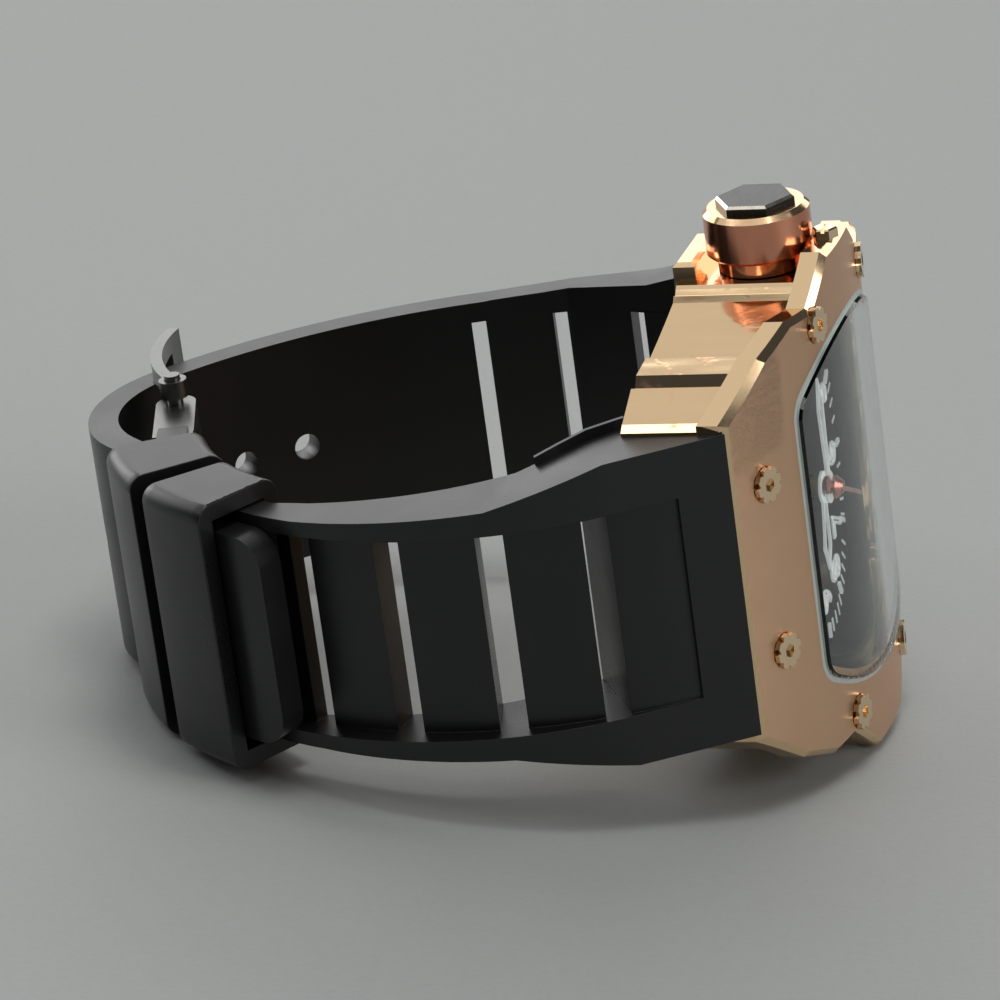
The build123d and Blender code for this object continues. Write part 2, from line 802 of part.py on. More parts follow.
# Crown: neck, barrel with beveled ends, and a bore for the tube
crown_base = land_half_width + crown_base_gap
barrel_base = crown_base + crown_neck_length
crown_top = barrel_base + crown_length
with BuildPart() as crown:
    with BuildSketch(side.offset(crown_base)):
        Circle(crown_neck_radius)
    extrude(amount=crown_neck_length)
    with BuildSketch(side.offset(barrel_base)):
        Circle(crown_radius)
    extrude(amount=crown_length)
    chamfer(crown.edges().filter_by(GeomType.CIRCLE).group_by(Axis.Z)[-1], crown_rim_chamfer)
    chamfer(
        crown.edges().filter_by(GeomType.CIRCLE).group_by(Axis.Z)[-3].sort_by(SortBy.LENGTH)[-1:],
        crown_foot_chamfer,
    )
    with BuildSketch(side.offset(crown_base)):
        Circle(tube_radius + stem_fit)
    extrude(amount=crown_bore_depth, mode=Mode.SUBTRACT)
    with BuildSketch(side.offset(crown_base + oring_rise)):
        Circle(oring_radius)
    extrude(amount=oring_height, mode=Mode.SUBTRACT)
    with BuildSketch(side.offset(crown_base)):
        Circle(stem_radius)
    extrude(amount=crown_top - crown_base - stem_top_depth, mode=Mode.SUBTRACT)
    with BuildSketch(side.offset(crown_top)):
        Circle(crown_cap_boss_radius)
    extrude(amount=-crown_cap_boss_depth, mode=Mode.SUBTRACT)
crown.part.label = "crown"
export_step(crown.part, "parts/crown.step")

# Six-sided cap pressed into the end of the crown
with BuildPart() as crown_cap:
    with BuildSketch(side.offset(crown_top)):
        RegularPolygon(crown_cap_radius, 6)
    extrude(amount=crown_cap_height)
    chamfer(crown_cap.edges().group_by(Axis.Z)[-1], crown_cap_chamfer)
    with BuildSketch(side.offset(crown_top)):
        Circle(crown_cap_boss_radius)
    extrude(amount=-crown_cap_boss_depth)
crown_cap.part.label = "crown_cap"
export_step(crown_cap.part, "parts/crown_cap.step")

with BuildPart() as crown_gasket:
    with BuildSketch(side.offset(crown_base + oring_rise)):
        Circle(oring_radius)
        Circle(tube_radius + stem_fit / 2, mode=Mode.SUBTRACT)
    extrude(amount=oring_height)
crown_gasket.part.label = "crown_gasket"
export_step(crown_gasket.part, "parts/crown_gasket.step")

with BuildPart() as crown_tube:
    with BuildSketch(side.offset(land_half_width - tube_seat_depth)):
        Circle(tube_radius)
        Circle(stem_radius + stem_fit, mode=Mode.SUBTRACT)
    extrude(amount=tube_seat_depth + tube_rise)
    chamfer(crown_tube.edges().group_by(Axis.Z)[-1].sort_by(SortBy.LENGTH)[-1:], tube_chamfer)
crown_tube.part.label = "crown_tube"
export_step(crown_tube.part, "parts/crown_tube.step")

# Stem with the groove that the setting lever holds
with BuildPart() as crown_stem:
    with BuildSketch(side.offset(stem_end_across)):
        Circle(stem_radius)
    extrude(amount=crown_top - stem_top_depth - stem_end_across)
    with BuildSketch(side.offset(lever_across - lever_thickness / 2 - stem_fit)):
        Circle(stem_radius + overrun)
        Circle(stem_groove_radius, mode=Mode.SUBTRACT)
    extrude(amount=lever_thickness + 2 * stem_fit, mode=Mode.SUBTRACT)
crown_stem.part.label = "crown_stem"
export_step(crown_stem.part, "parts/crown_stem.step")

with BuildPart() as setting_lever:
    with BuildSketch(side.offset(lever_across - lever_thickness / 2)):
        Rectangle(2 * lever_half_height, 2 * lever_half_width)
        with Locations((0, lever_half_width / 2)):
            Rectangle(2 * (stem_groove_radius + stem_fit), lever_half_width, mode=Mode.SUBTRACT)
        Circle(stem_groove_radius + stem_fit, mode=Mode.SUBTRACT)
    extrude(amount=lever_thickness)
setting_lever.part.label = "setting_lever"
export_step(setting_lever.part, "parts/setting_lever.step")

# Width of the strap as seen from above, widest where it meets the case
strap_end_x = ring_center_x - tail_radius - curl_reach - overrun
width_outline = [
    (front_end_x + overrun, strap_root_half_width),
    (back_end_x, strap_root_half_width - strap_end_taper),
    (strap_mid_x, strap_mid_half_width),
    (strap_tail_x, strap_tail_half_width),
    (strap_end_x, strap_tail_half_width),
]
width_points = width_outline + [(x, -z) for x, z in reversed(width_outline)]
plan_reach = case_half_length + 2 * tail_radius

# Short half of the strap, from the case to the end piece
case_end_y = case_half_length + strap_end_gap
inner_shift = inner_shift_share * seam_radius
inner_radius = seam_radius - inner_drop
floor_radius = seam_radius + floor_rise
corner_span = Vector(front_end_x, -case_end_y) - ring_center
leave_angle = heading(Vector(0, 0), corner_span) - degrees(acos(seam_radius / corner_span.length)) + 180
inner_center = ring_center - Vector(inner_shift, 0)
inner_start = circle_crossing(inner_center, inner_radius, ring_center, seam_radius - layer_thickness)
inner_end_angle = heading(inner_start, ring_center)
root_turn = degrees(asin(root_inner_share))
root_inner = inner_center + Vector(sin(radians(root_turn)), -cos(radians(root_turn))) * inner_radius
inner_low = inner_center - Vector(0, inner_radius)


def ring_arc(radius, start, end):
    """Arc about the ring centre between two ring angles."""
    half_way = (start + end) / 2
    return ThreePointArc(ring_point(radius, start), ring_point(radius, half_way), ring_point(radius, end))


def spot(center, radius, angle):
    """Point at a radius and an angle from +X about a centre."""
    return center + Vector(radius * cos(radians(angle)), radius * sin(radians(angle)))


def arc_about(center, radius, start, end):
    """Arc about a centre between two angles from +X."""
    return ThreePointArc(
        spot(center, radius, start), spot(center, radius, (start + end) / 2), spot(center, radius, end)
    )


def outward_plane(center, angle):
    """Plane at a centre, with x up and its normal at an angle from +X."""
    normal = (cos(radians(angle)), sin(radians(angle)), 0)
    return Plane(origin=middle + center, x_dir=(0, 0, 1), z_dir=normal)


floor_center = ring_point(-floor_shift, floor_shift_angle)
with BuildPart() as strap_short:
    with BuildSketch(side):
        with BuildLine():
            ring_arc(seam_radius, short_end_angle, leave_angle)
            Polyline(
                ring_point(seam_radius, leave_angle),
                (front_end_x, -case_end_y),
                (back_end_x, -case_end_y),
                (back_end_x, strap_root_inner_y),
                root_inner,
            )
            ThreePointArc(root_inner, inner_low, inner_start)
            ring_arc(seam_radius - layer_thickness, inner_end_angle, short_end_angle)
            Line(
                ring_point(seam_radius - layer_thickness, short_end_angle),
                ring_point(seam_radius, short_end_angle),
            )
        make_face()
    extrude(amount=strap_root_half_width, both=True)
    with BuildSketch(plan):
        Polygon(*width_points, align=None)
    extrude(amount=plan_reach, both=True, mode=Mode.INTERSECT)
    with BuildSketch(side):
        Polygon(
            ring_center,
            ring_point(plan_reach, ladder_start_angle),
            ring_point(plan_reach, floor_shift_angle),
            ring_point(plan_reach, leave_angle + floor_end_angle),
            align=None,
        )
        with Locations(floor_center):
            Circle(floor_radius, mode=Mode.SUBTRACT)
    extrude(amount=ladder_half_height, both=True, mode=Mode.SUBTRACT)
    for turn in range(slot_count):
        with BuildSketch(outward_plane(ring_center, 180 + slot_first_angle + turn * slot_step_angle)):
            Rectangle(2 * ladder_half_height, slot_gap)
        extrude(amount=plan_reach, mode=Mode.SUBTRACT)
    with BuildSketch(lug_plane):
        Rectangle(lug_thickness + 2 * lug_clearance, 2 * (lug_half_width + lug_clearance))
    extrude(amount=-case_half_length - lug_length - lug_clearance, mode=Mode.SUBTRACT)
    with BuildSketch(side):
        with Locations((lug_x, -pin_y)):
            Circle(strap_pin_radius)
    extrude(amount=strap_pin_half_length, both=True, mode=Mode.SUBTRACT)
strap_short.part.label = "strap_short"
export_step(strap_short.part, "parts/strap_short.step")

# Long half of the strap: over the wrist, round the curl and under the keepers
curl_center = ring_center + Vector(curl_radius - tail_radius - curl_reach, -curl_drop)
back_arc_x = ring_center_x + back_arc_lead
back_arc_top = case_half_length + back_arc_rise
back_lead = back_arc_x - curl_center.X
back_rise = back_arc_top - curl_center.Y
back_arc_radius = (back_lead**2 + back_rise**2 - curl_radius**2) / (2 * (back_rise - curl_radius))
back_center = Vector(back_arc_x, back_arc_top - back_arc_radius)
joggle_center = circle_crossing(
    curl_center, curl_radius + joggle_radius, ring_center, tail_radius + joggle_radius
)
case_corner_angle = degrees(acos((front_end_x - back_arc_x) / back_arc_radius))
root_end_angle = degrees(acos((long_root_end_x - back_arc_x) / (back_arc_radius - layer_thickness)))
curl_start = heading(back_center, curl_center)
curl_end = heading(curl_center, joggle_center) + 360
joggle_start = heading(joggle_center, curl_center)
joggle_end = heading(joggle_center, ring_center)
corner_top = spot(back_center, back_arc_radius, case_corner_angle)

# Row of holes, stepped along the middle of the strap
back_mid_radius = back_arc_radius - layer_thickness / 2
curl_mid_radius = curl_radius - layer_thickness / 2
hole_turn = degrees(hole_step / back_mid_radius)
back_hole_angles = [90 + hole_first_angle + turn * hole_turn for turn in range(hole_back_count)]
left_over = radians(curl_start - back_hole_angles[-1]) * back_mid_radius
first_curl_angle = curl_start + degrees((hole_step - left_over) / curl_mid_radius)
curl_hole_angles = [
    first_curl_angle + turn * degrees(hole_step / curl_mid_radius) for turn in range(1, hole_curl_count)
]

# The tongue rises from the bar through the strap and rests on the frame
bar_center = ring_point(seam_radius + bar_rise, bar_angle)
frame_tip = spot(bar_center, frame_reach, frame_heading)
frame_half = frame_reach / 2
bow_turn = degrees(atan2(frame_bow, frame_half))
frame_middle = spot(bar_center, sqrt(frame_half**2 + frame_bow**2), frame_heading + bow_turn)
bow_radius = (frame_half**2 + frame_bow**2) / (2 * frame_bow)
rest_reach = frame_reach - frame_end_width
rest_bow = sqrt(bow_radius**2 - (rest_reach - frame_half) ** 2) - bow_radius + frame_bow
rest_height = rest_bow + frame_thickness / 2 + tongue_rod_radius + tongue_rest_gap
tongue_angle = frame_heading + degrees(asin(rest_height / rest_reach))
tongue_length = frame_reach + tongue_tip_past
hole_planes = [outward_plane(back_center, angle) for angle in back_hole_angles]
hole_planes += [outward_plane(curl_center, angle) for angle in curl_hole_angles]
hole_planes.append(outward_plane(bar_center, tongue_angle))

with BuildPart() as strap_long:
    with BuildSketch(side):
        with BuildLine():
            arc_about(back_center, back_arc_radius, case_corner_angle, curl_start)
            arc_about(curl_center, curl_radius, curl_start, curl_end)
            arc_about(joggle_center, joggle_radius, joggle_start, joggle_end)
            ring_arc(tail_radius, joggle_end, tail_tip_angle)
            Line(
                ring_point(tail_radius, tail_tip_angle),
                ring_point(tail_radius - layer_thickness, tail_tip_angle),
            )
            ring_arc(tail_radius - layer_thickness, tail_tip_angle, joggle_end)
            arc_about(joggle_center, joggle_radius + layer_thickness, joggle_end, joggle_start)
            arc_about(curl_center, curl_radius - layer_thickness, curl_end, curl_start)
            arc_about(back_center, back_arc_radius - layer_thickness, curl_start, root_end_angle)
            Polyline(
                spot(back_center, back_arc_radius - layer_thickness, root_end_angle),
                (back_end_x, long_root_inner_y),
                (back_end_x, case_end_y),
                (front_end_x, case_end_y),
                corner_top,
            )
        make_face()
    extrude(amount=strap_root_half_width, both=True)
    with BuildSketch(plan):
        Polygon(*width_points, align=None)
    extrude(amount=plan_reach, both=True, mode=Mode.INTERSECT)
    with BuildSketch(side.offset(tail_half_width)):
        Polygon(
            ring_center,
            ring_point(plan_reach, tail_step_angle),
            ring_point(plan_reach, tail_tip_angle + tail_past_angle),
            align=None,
        )
    extrude(amount=strap_root_half_width, mode=Mode.SUBTRACT)
    with BuildSketch(side.offset(-tail_half_width)):
        Polygon(
            ring_center,
            ring_point(plan_reach, tail_step_angle),
            ring_point(plan_reach, tail_tip_angle + tail_past_angle),
            align=None,
        )
    extrude(amount=-strap_root_half_width, mode=Mode.SUBTRACT)
    tip_place = middle + ring_point(tail_radius - layer_thickness / 2, tail_tip_angle)
    tip = strap_long.faces().filter_by(GeomType.PLANE).sort_by_distance(tip_place)[0]
    fillet(tip.edges().group_by(Axis.Z)[0] + tip.edges().group_by(Axis.Z)[-1], tail_tip_radius)
    with BuildSketch(side):
        Polygon(
            back_center,
            spot(back_center, plan_reach, 90 + long_recess_start_angle),
            spot(back_center, plan_reach, 90 + long_recess_end_angle),
            align=None,
        )
        with Locations(back_center):
            Circle(back_arc_radius - long_recess_depth, mode=Mode.SUBTRACT)
    extrude(amount=long_ladder_half_height, both=True, mode=Mode.SUBTRACT)
    for turn in range(long_slot_count):
        slot_angle = 90 + long_slot_first_angle + turn * long_slot_step_angle
        with BuildSketch(outward_plane(back_center, slot_angle)):
            Rectangle(2 * long_ladder_half_height, slot_gap)
        extrude(amount=plan_reach, mode=Mode.SUBTRACT)
    for plane in hole_planes:
        with BuildSketch(plane):
            Circle(hole_radius)
        extrude(amount=plan_reach, mode=Mode.SUBTRACT)
    with BuildSketch(lug_plane):
        Rectangle(lug_thickness + 2 * lug_clearance, 2 * (lug_half_width + lug_clearance))
    extrude(amount=case_half_length + lug_length + lug_clearance, mode=Mode.SUBTRACT)
    with BuildSketch(side):
        with Locations((lug_x, pin_y)):
            Circle(strap_pin_radius)
    extrude(amount=strap_pin_half_length, both=True, mode=Mode.SUBTRACT)
strap_long.part.label = "strap_long"
export_step(strap_long.part, "parts/strap_long.step")

with BuildPart() as strap_pin_short:
    with BuildSketch(side):
        with Locations((lug_x, -pin_y)):
            Circle(strap_pin_radius)
    extrude(amount=strap_pin_half_length, both=True)
strap_pin_short.part.label = "strap_pin_short"
export_step(strap_pin_short.part, "parts/strap_pin_short.step")

with BuildPart() as strap_pin_long:
    with BuildSketch(side):
        with Locations((lug_x, pin_y)):
            Circle(strap_pin_radius)
    extrude(amount=strap_pin_half_length, both=True)
strap_pin_long.part.label = "strap_pin_long"
export_step(strap_pin_long.part, "parts/strap_pin_long.step")

# Keepers round both layers of the strap
keeper_low = seam_radius - layer_thickness - keeper_clearance
keeper_high = tail_radius + keeper_clearance
keeper_half_width = strap_tail_half_width + keeper_clearance
keeper_span = keeper_high - keeper_low


def keeper_section(angle):
    """Closed band round the layered strap, in a plane through the ring axis."""
    with BuildSketch(ring_plane(angle)) as band:
        with Locations(((keeper_low + keeper_high) / 2, 0)):
            RectangleRounded(
                keeper_span + 2 * keeper_wall, 2 * (keeper_half_width + keeper_wall), keeper_corner
            )
            Rectangle(keeper_span, 2 * keeper_half_width, mode=Mode.SUBTRACT)
    return band.sketch


with BuildPart() as keeper_fixed:
    add(keeper_section(fixed_keeper_start_angle))
    revolve(axis=ring_axis, revolution_arc=fixed_keeper_end_angle - fixed_keeper_start_angle)
keeper_fixed.part.label = "keeper_fixed"
export_step(keeper_fixed.part, "parts/keeper_fixed.step")

with BuildPart() as keeper_free:
    add(keeper_section(free_keeper_start_angle))
    revolve(axis=ring_axis, revolution_arc=free_keeper_end_angle - free_keeper_start_angle)
keeper_free.part.label = "keeper_free"
export_step(keeper_free.part, "parts/keeper_free.step")

# Buckle: bar, end piece clamped on the short half, frame and tongue
with BuildPart() as buckle_bar:
    with BuildSketch(side):
        with Locations(bar_center):
            Circle(bar_radius)
    extrude(amount=bar_half_length, both=True)
buckle_bar.part.label = "buckle_bar"
export_step(buckle_bar.part, "parts/buckle_bar.step")

jaw_angle = short_end_angle + end_piece_overlap_angle
jaw_high = seam_radius + end_piece_lip
jaw_low = seam_radius - layer_thickness - end_piece_lip
with BuildPart() as buckle_end_piece:
    with BuildSketch(side):
        with Locations(bar_center):
            Circle(end_piece_radius)
        Polygon(
            ring_point(jaw_high, short_end_angle),
            ring_point(jaw_high, jaw_angle),
            ring_point(jaw_low, jaw_angle),
            ring_point(jaw_low, short_end_angle),
            align=None,
        )
        make_hull()
        with Locations(bar_center):
            Circle(bar_radius, mode=Mode.SUBTRACT)
    extrude(amount=end_piece_half_height, both=True)
    add(strap_short.part, mode=Mode.SUBTRACT)
    with BuildSketch(side):
        with Locations(bar_center):
            Circle(end_piece_radius + tongue_slot_gap)
    extrude(amount=tongue_half_width + tongue_slot_gap, both=True, mode=Mode.SUBTRACT)
    with BuildSketch(outward_plane(ring_center, 180 + window_angle)):
        with Locations((-window_across, 0), (window_across, 0)):
            Rectangle(window_size, window_size)
    extrude(amount=plan_reach, mode=Mode.SUBTRACT)
buckle_end_piece.part.label = "buckle_end_piece"
export_step(buckle_end_piece.part, "parts/buckle_end_piece.step")

# Frame bent from a plate, with a window for the strap between its arms
arm_base = strap_tail_half_width + frame_side_gap
with BuildPart() as buckle_frame:
    with BuildSketch(side):
        with BuildLine():
            ThreePointArc(bar_center, frame_middle, frame_tip)
        trace(line_width=frame_thickness)
        with Locations(bar_center):
            Circle(frame_eye_radius)
    extrude(amount=arm_base + frame_arm_height, both=True)
    with BuildSketch(side):
        with Locations(bar_center):
            Circle(rest_reach)
    extrude(amount=arm_base, both=True, mode=Mode.SUBTRACT)
    with BuildSketch(side):
        with Locations(bar_center):
            Circle(bar_radius + bar_fit)
    extrude(amount=arm_base + frame_arm_height, both=True, mode=Mode.SUBTRACT)
buckle_frame.part.label = "buckle_frame"
export_step(buckle_frame.part, "parts/buckle_frame.step")

with BuildPart() as buckle_tongue:
    with BuildSketch(side):
        with Locations(bar_center):
            Circle(tongue_eye_radius)
    extrude(amount=tongue_half_width, both=True)
    with BuildSketch(outward_plane(bar_center, tongue_angle)):
        Circle(tongue_rod_radius)
    extrude(amount=tongue_length)
    rod_tip = buckle_tongue.edges().filter_by(GeomType.CIRCLE).sort_by(Axis.Y)[-1]
    fillet(rod_tip, tongue_tip_fillet)
    with BuildSketch(side):
        with Locations(bar_center):
            Circle(bar_radius + bar_fit)
    extrude(amount=tongue_half_width, both=True, mode=Mode.SUBTRACT)
buckle_tongue.part.label = "buckle_tongue"
export_step(buckle_tongue.part, "parts/buckle_tongue.step")
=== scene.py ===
"""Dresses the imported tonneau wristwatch: finishes, dial print, rubber strap and studio."""

import json
from math import atan2, cos, degrees, pi, radians, sin
from random import Random

import bmesh
import bpy
from bpy.props import FloatProperty, FloatVectorProperty, IntProperty, PointerProperty
from mathutils import Matrix, Vector


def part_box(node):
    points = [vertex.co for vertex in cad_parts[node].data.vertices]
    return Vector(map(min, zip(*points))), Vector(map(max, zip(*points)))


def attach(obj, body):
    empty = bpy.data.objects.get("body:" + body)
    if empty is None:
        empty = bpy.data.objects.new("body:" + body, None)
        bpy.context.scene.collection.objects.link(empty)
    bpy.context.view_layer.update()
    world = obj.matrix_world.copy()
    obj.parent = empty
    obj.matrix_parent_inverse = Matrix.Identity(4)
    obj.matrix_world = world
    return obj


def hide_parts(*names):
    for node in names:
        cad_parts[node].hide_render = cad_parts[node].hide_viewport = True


bl_info = {
    "name": "Tonneau wristwatch",
    "version": (1, 0, 0),
    "blender": (4, 5, 0),
    "location": "3D View > Sidebar > Watch",
    "description": "Finishes and details of a barrel-shaped wristwatch on a rubber strap",
    "category": "Object",
}

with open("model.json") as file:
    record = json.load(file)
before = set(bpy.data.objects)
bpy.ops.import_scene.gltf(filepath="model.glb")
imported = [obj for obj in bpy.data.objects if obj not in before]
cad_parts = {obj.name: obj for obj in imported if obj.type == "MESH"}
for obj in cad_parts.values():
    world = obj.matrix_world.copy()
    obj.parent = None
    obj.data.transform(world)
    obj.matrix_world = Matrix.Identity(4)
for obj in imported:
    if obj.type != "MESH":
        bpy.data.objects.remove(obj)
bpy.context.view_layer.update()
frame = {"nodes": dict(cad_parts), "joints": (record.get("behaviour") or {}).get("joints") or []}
MM = 0.001
DIAL_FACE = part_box("dial")[1][0]
HAND_AXIS = Vector((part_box("seconds_pinion")[0][0], 0.0, sum(p[2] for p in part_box("seconds_pinion")) / 2))


# Places, angles in degrees and sizes of what this script shapes

RING = Vector(next(j["pos_m"] for j in frame["joints"] if j["name"] == "keeper_slide"))
CORNER_LOW = 37.5 * MM
CORNER_END = -18.5 * MM
SLOT_PULL_MIDDLE = 72.6
SLOT_PULL_REACH = 50.0
SLOT_PULL_BEFORE = 16.0
LONG_ARC = RING + Vector((9.4 * MM, -27.3 * MM, 0))
LONG_SLOTS = 4
LONG_SLOT_FIRST = -95.7
LONG_SLOT_STEP = 8.4
LONG_SLOT_REACH = 2.8
RIB_LINE = (
    (-23.2, -25.9, 38.6),
    (-21.2, -24.1, 39.2),
    (-18.9, -22.4, 39.9),
    (-16.2, -21.9, 40.6),
    (-15.2, -21.9, 40.9),
)
RIB_THICKNESS = 0.8 * MM
FLASH_STEPS = 36
FLASH_INSET = 0.12
FLASH_ROOT = 0.1 * MM
FLASH_THICKNESS = 0.12 * MM
TOP_FACE_REACH = 0.05 * MM
TICK_HEIGHT = 0.08 * MM
TRACK_SQUARENESS = 0.82
NUMERAL_INSET_LONG = 3.4 * MM
NUMERAL_INSET_WIDE = 3.6 * MM

# Limits of the mesh clean-up: lengths in metres, edges in degrees

WELD_REACH = 0.000001
SAME_POINT = 0.000002
FLAT_EDGE = 0.6
SHARP_EDGE = 32

# Camera, floor and lights

PIVOT = (-4.7 * MM, 0.0, 25.8 * MM)
AIM_X, AIM_Y = 804, 486
FRAME_MIDDLE = 500
SENSOR_WIDTH = 36
FLOOR_NORMAL = Vector((0.1697, 0.0497, 0.9842)).normalized()
FLOOR_POINT = FLOOR_NORMAL * (-0.45 * MM)
FLOOR_REACH = 3
LIGHTS_AIM = (-0.03, 0, 0.02)


# Sizes and colours


class WatchFinish(bpy.types.PropertyGroup):
    """Colours and finishes of the metal, rubber and glass."""

    satin_gold: FloatVectorProperty(
        name="Satin gold", description="Colour of the bezel", subtype="COLOR", default=(0.86, 0.55, 0.35)
    )
    bright_gold: FloatVectorProperty(
        name="Bright gold", description="Colour of the polished band", subtype="COLOR",
        default=(0.92, 0.66, 0.39),
    )
    copper: FloatVectorProperty(
        name="Crown copper", description="Colour of the crown", subtype="COLOR", default=(0.84, 0.36, 0.22)
    )
    dark_cap: FloatVectorProperty(
        name="Dark cap", description="Colour of the crown's cap", subtype="COLOR",
        default=(0.018, 0.017, 0.015),
    )
    rubber: FloatVectorProperty(
        name="Rubber", description="Colour of the strap", subtype="COLOR", default=(0.005, 0.005, 0.0055)
    )
    steel: FloatVectorProperty(
        name="Steel", description="Colour of the buckle", subtype="COLOR", default=(0.23, 0.23, 0.22)
    )
    grain: FloatProperty(
        name="Rubber grain", description="Depth of the moulded grain", default=0.35, min=0, max=1
    )
    scratches: FloatProperty(name="Scratches", description="Strength of the wear", default=0.5, min=0, max=1)


class WatchDial(bpy.types.PropertyGroup):
    """Sizes of the printed and applied parts of the dial."""

    tick_count: IntProperty(name="Ticks", description="Ticks round the track", default=60, min=12, max=120)
    tick_length: FloatProperty(
        name="Tick length", description="Length of a tick", default=1.5 * MM, unit="LENGTH"
    )
    tick_width: FloatProperty(
        name="Tick width", description="Width of a tick", default=0.27 * MM, unit="LENGTH"
    )
    track_width: FloatProperty(name="Track width", description="Half width", default=15.5 * MM, unit="LENGTH")
    track_length: FloatProperty(
        name="Track length", description="Half length", default=12.0 * MM, unit="LENGTH"
    )
    numeral_size: FloatProperty(
        name="Numerals", description="Height of a numeral", default=4.9 * MM, unit="LENGTH"
    )
    numeral_line: FloatProperty(
        name="Line", description="Half width of the outline", default=0.17 * MM, unit="LENGTH"
    )


class WatchStrap(bpy.types.PropertyGroup):
    """Edges, rib and slots of the strap and its keepers."""

    edge_round: FloatProperty(
        name="Edge", description="Width of the rounded edges", default=0.4 * MM, unit="LENGTH"
    )
    rib_height: FloatProperty(name="Rib", description="Height of the rib", default=1.1 * MM, unit="LENGTH")
    slot_pull: FloatProperty(
        name="Slot pull", description="Degrees that the near slots move outwards", default=4.4
    )
    slot_share: FloatProperty(name="Far slots", description="Share of the far slots' width", default=0.62)
    keeper_round: FloatProperty(
        name="Keeper edge", description="Edge of keepers", default=0.15 * MM, unit="LENGTH"
    )


class WatchStage(bpy.types.PropertyGroup):
    """Camera, floor and lights."""

    distance: FloatProperty(name="Distance", description="Camera to case", default=0.6, unit="LENGTH")
    lens: FloatProperty(name="Lens", description="Focal length in millimetres", default=221.0)
    azimuth: FloatProperty(name="Azimuth", description="Camera round the watch", default=15.85)
    elevation: FloatProperty(name="Elevation", description="Camera above the watch", default=21.3)
    roll: FloatProperty(name="Roll", description="Lean of the crown axis to the left", default=6.8)
    floor_color: FloatVectorProperty(
        name="Floor", description="Colour of the floor", subtype="COLOR", default=(0.36, 0.37, 0.36)
    )
    light_power: FloatProperty(
        name="Light", description="Power of the main soft light", default=5.0, unit="POWER"
    )


# Shader maths


class Socket:
    """One output socket that takes part in sums."""

    def __init__(self, graph, output):
        self.graph = graph
        self.output = output

    def __add__(self, other):
        return self.graph.maths("ADD", self, other)

    __radd__ = __add__

    def __sub__(self, other):
        return self.graph.maths("SUBTRACT", self, other)

    def __rsub__(self, other):
        return self.graph.maths("SUBTRACT", other, self)

    def __mul__(self, other):
        return self.graph.maths("MULTIPLY", self, other)

    __rmul__ = __mul__

    def limited(self):
        """The value kept between 0 and 1."""
        return self.graph.maths("MINIMUM", self.graph.maths("MAXIMUM", self, 0.0), 1.0)

    def size(self):
        """The value without its sign."""
        return self.graph.maths("ABSOLUTE", self)


class Finish:
    """A material and the graph of its nodes."""

    def __init__(self, name, **shader):
        self.material = bpy.data.materials.new(name)
        self.material.use_nodes = True
        self.tree = self.material.node_tree
        self.tree.nodes.clear()
        self.surface = self.node("ShaderNodeBsdfPrincipled", {}, shader)
        self.sheet = self.node("ShaderNodeOutputMaterial", {}, {"Surface": self.out(self.surface, "BSDF")})

    def node(self, kind, settings, inputs):
        """Adds a node, makes its settings and then fills or links its sockets."""
        made = self.tree.nodes.new(kind)
        for key, value in settings.items():
            setattr(made, key, value)
        for key, value in inputs.items():
            key = key.replace("_", " ") if isinstance(key, str) else key
            self.fill(made.inputs[key], value)
        return made

    def fill(self, entry, value):
        """Links a socket, or sets its constant."""
        if isinstance(value, Socket):
            self.tree.links.new(value.output, entry)
        elif entry.type == "RGBA" and len(value) == 3:
            entry.default_value = (*value, 1.0)
        else:
            entry.default_value = value

    def out(self, node, name=0):
        """Wraps an output of a node."""
        return Socket(self, node.outputs[name])

    def maths(self, operation, *values):
        """Math node over values and numbers."""
        return self.out(self.node("ShaderNodeMath", {"operation": operation}, dict(enumerate(values))))

    def mix(self, factor, first, second):
        """Colour between two colours."""
        made = self.node("ShaderNodeMix", {"data_type": "RGBA"}, {0: factor, 6: first, 7: second})
        return self.out(made, 2)

    def place(self):
        """Position on the object, in metres."""
        return self.out(self.node("ShaderNodeTexCoord", {}, {}), "Object")

    def stretched(self, scale):
        """Position scaled along each axis, which stretches a texture."""
        return self.out(self.node("ShaderNodeMapping", {}, {"Vector": self.place(), "Scale": scale}))

    def noise(self, scale, detail=3.0, roughness=0.5, stretch=(1, 1, 1)):
        """Noise between 0 and 1, with its scale per metre."""
        inputs = {"Vector": self.stretched(stretch), "Scale": scale, "Detail": detail, "Roughness": roughness}
        return self.out(self.node("ShaderNodeTexNoise", {}, inputs), "Fac")

    def cells(self, scale):
        """Distance to the nearest cell centre."""
        inputs = {"Vector": self.place(), "Scale": scale}
        return self.out(self.node("ShaderNodeTexVoronoi", {}, inputs), "Distance")

    def band(self, value, low, high):
        """0 below low and 1 above high, smooth between."""
        inputs = {"Value": value, "From Min": low, "From Max": high}
        settings = {"interpolation_type": "SMOOTHSTEP"}
        return self.out(self.node("ShaderNodeMapRange", settings, inputs), "Result")

    def facing(self, axis):
        """How far the surface faces along an axis of the object, from -1 to 1."""
        normal = self.out(self.node("ShaderNodeTexCoord", {}, {}), "Normal")
        return self.out(self.node("ShaderNodeSeparateXYZ", {}, {"Vector": normal}), axis)

    def along(self, axis):
        """Position along an axis of the object, in metres."""
        return self.out(self.node("ShaderNodeSeparateXYZ", {}, {"Vector": self.place()}), axis)

    def bump(self, height, strength, distance):
        """Links a height to the shader's normal."""
        made = self.node("ShaderNodeBump", {}, {"Strength": strength, "Distance": distance, "Height": height})
        self.tree.links.new(made.outputs["Normal"], self.surface.inputs["Normal"])

    def set(self, **inputs):
        """Fills sockets of the shader."""
        for key, value in inputs.items():
            self.fill(self.surface.inputs[key.replace("_", " ")], value)


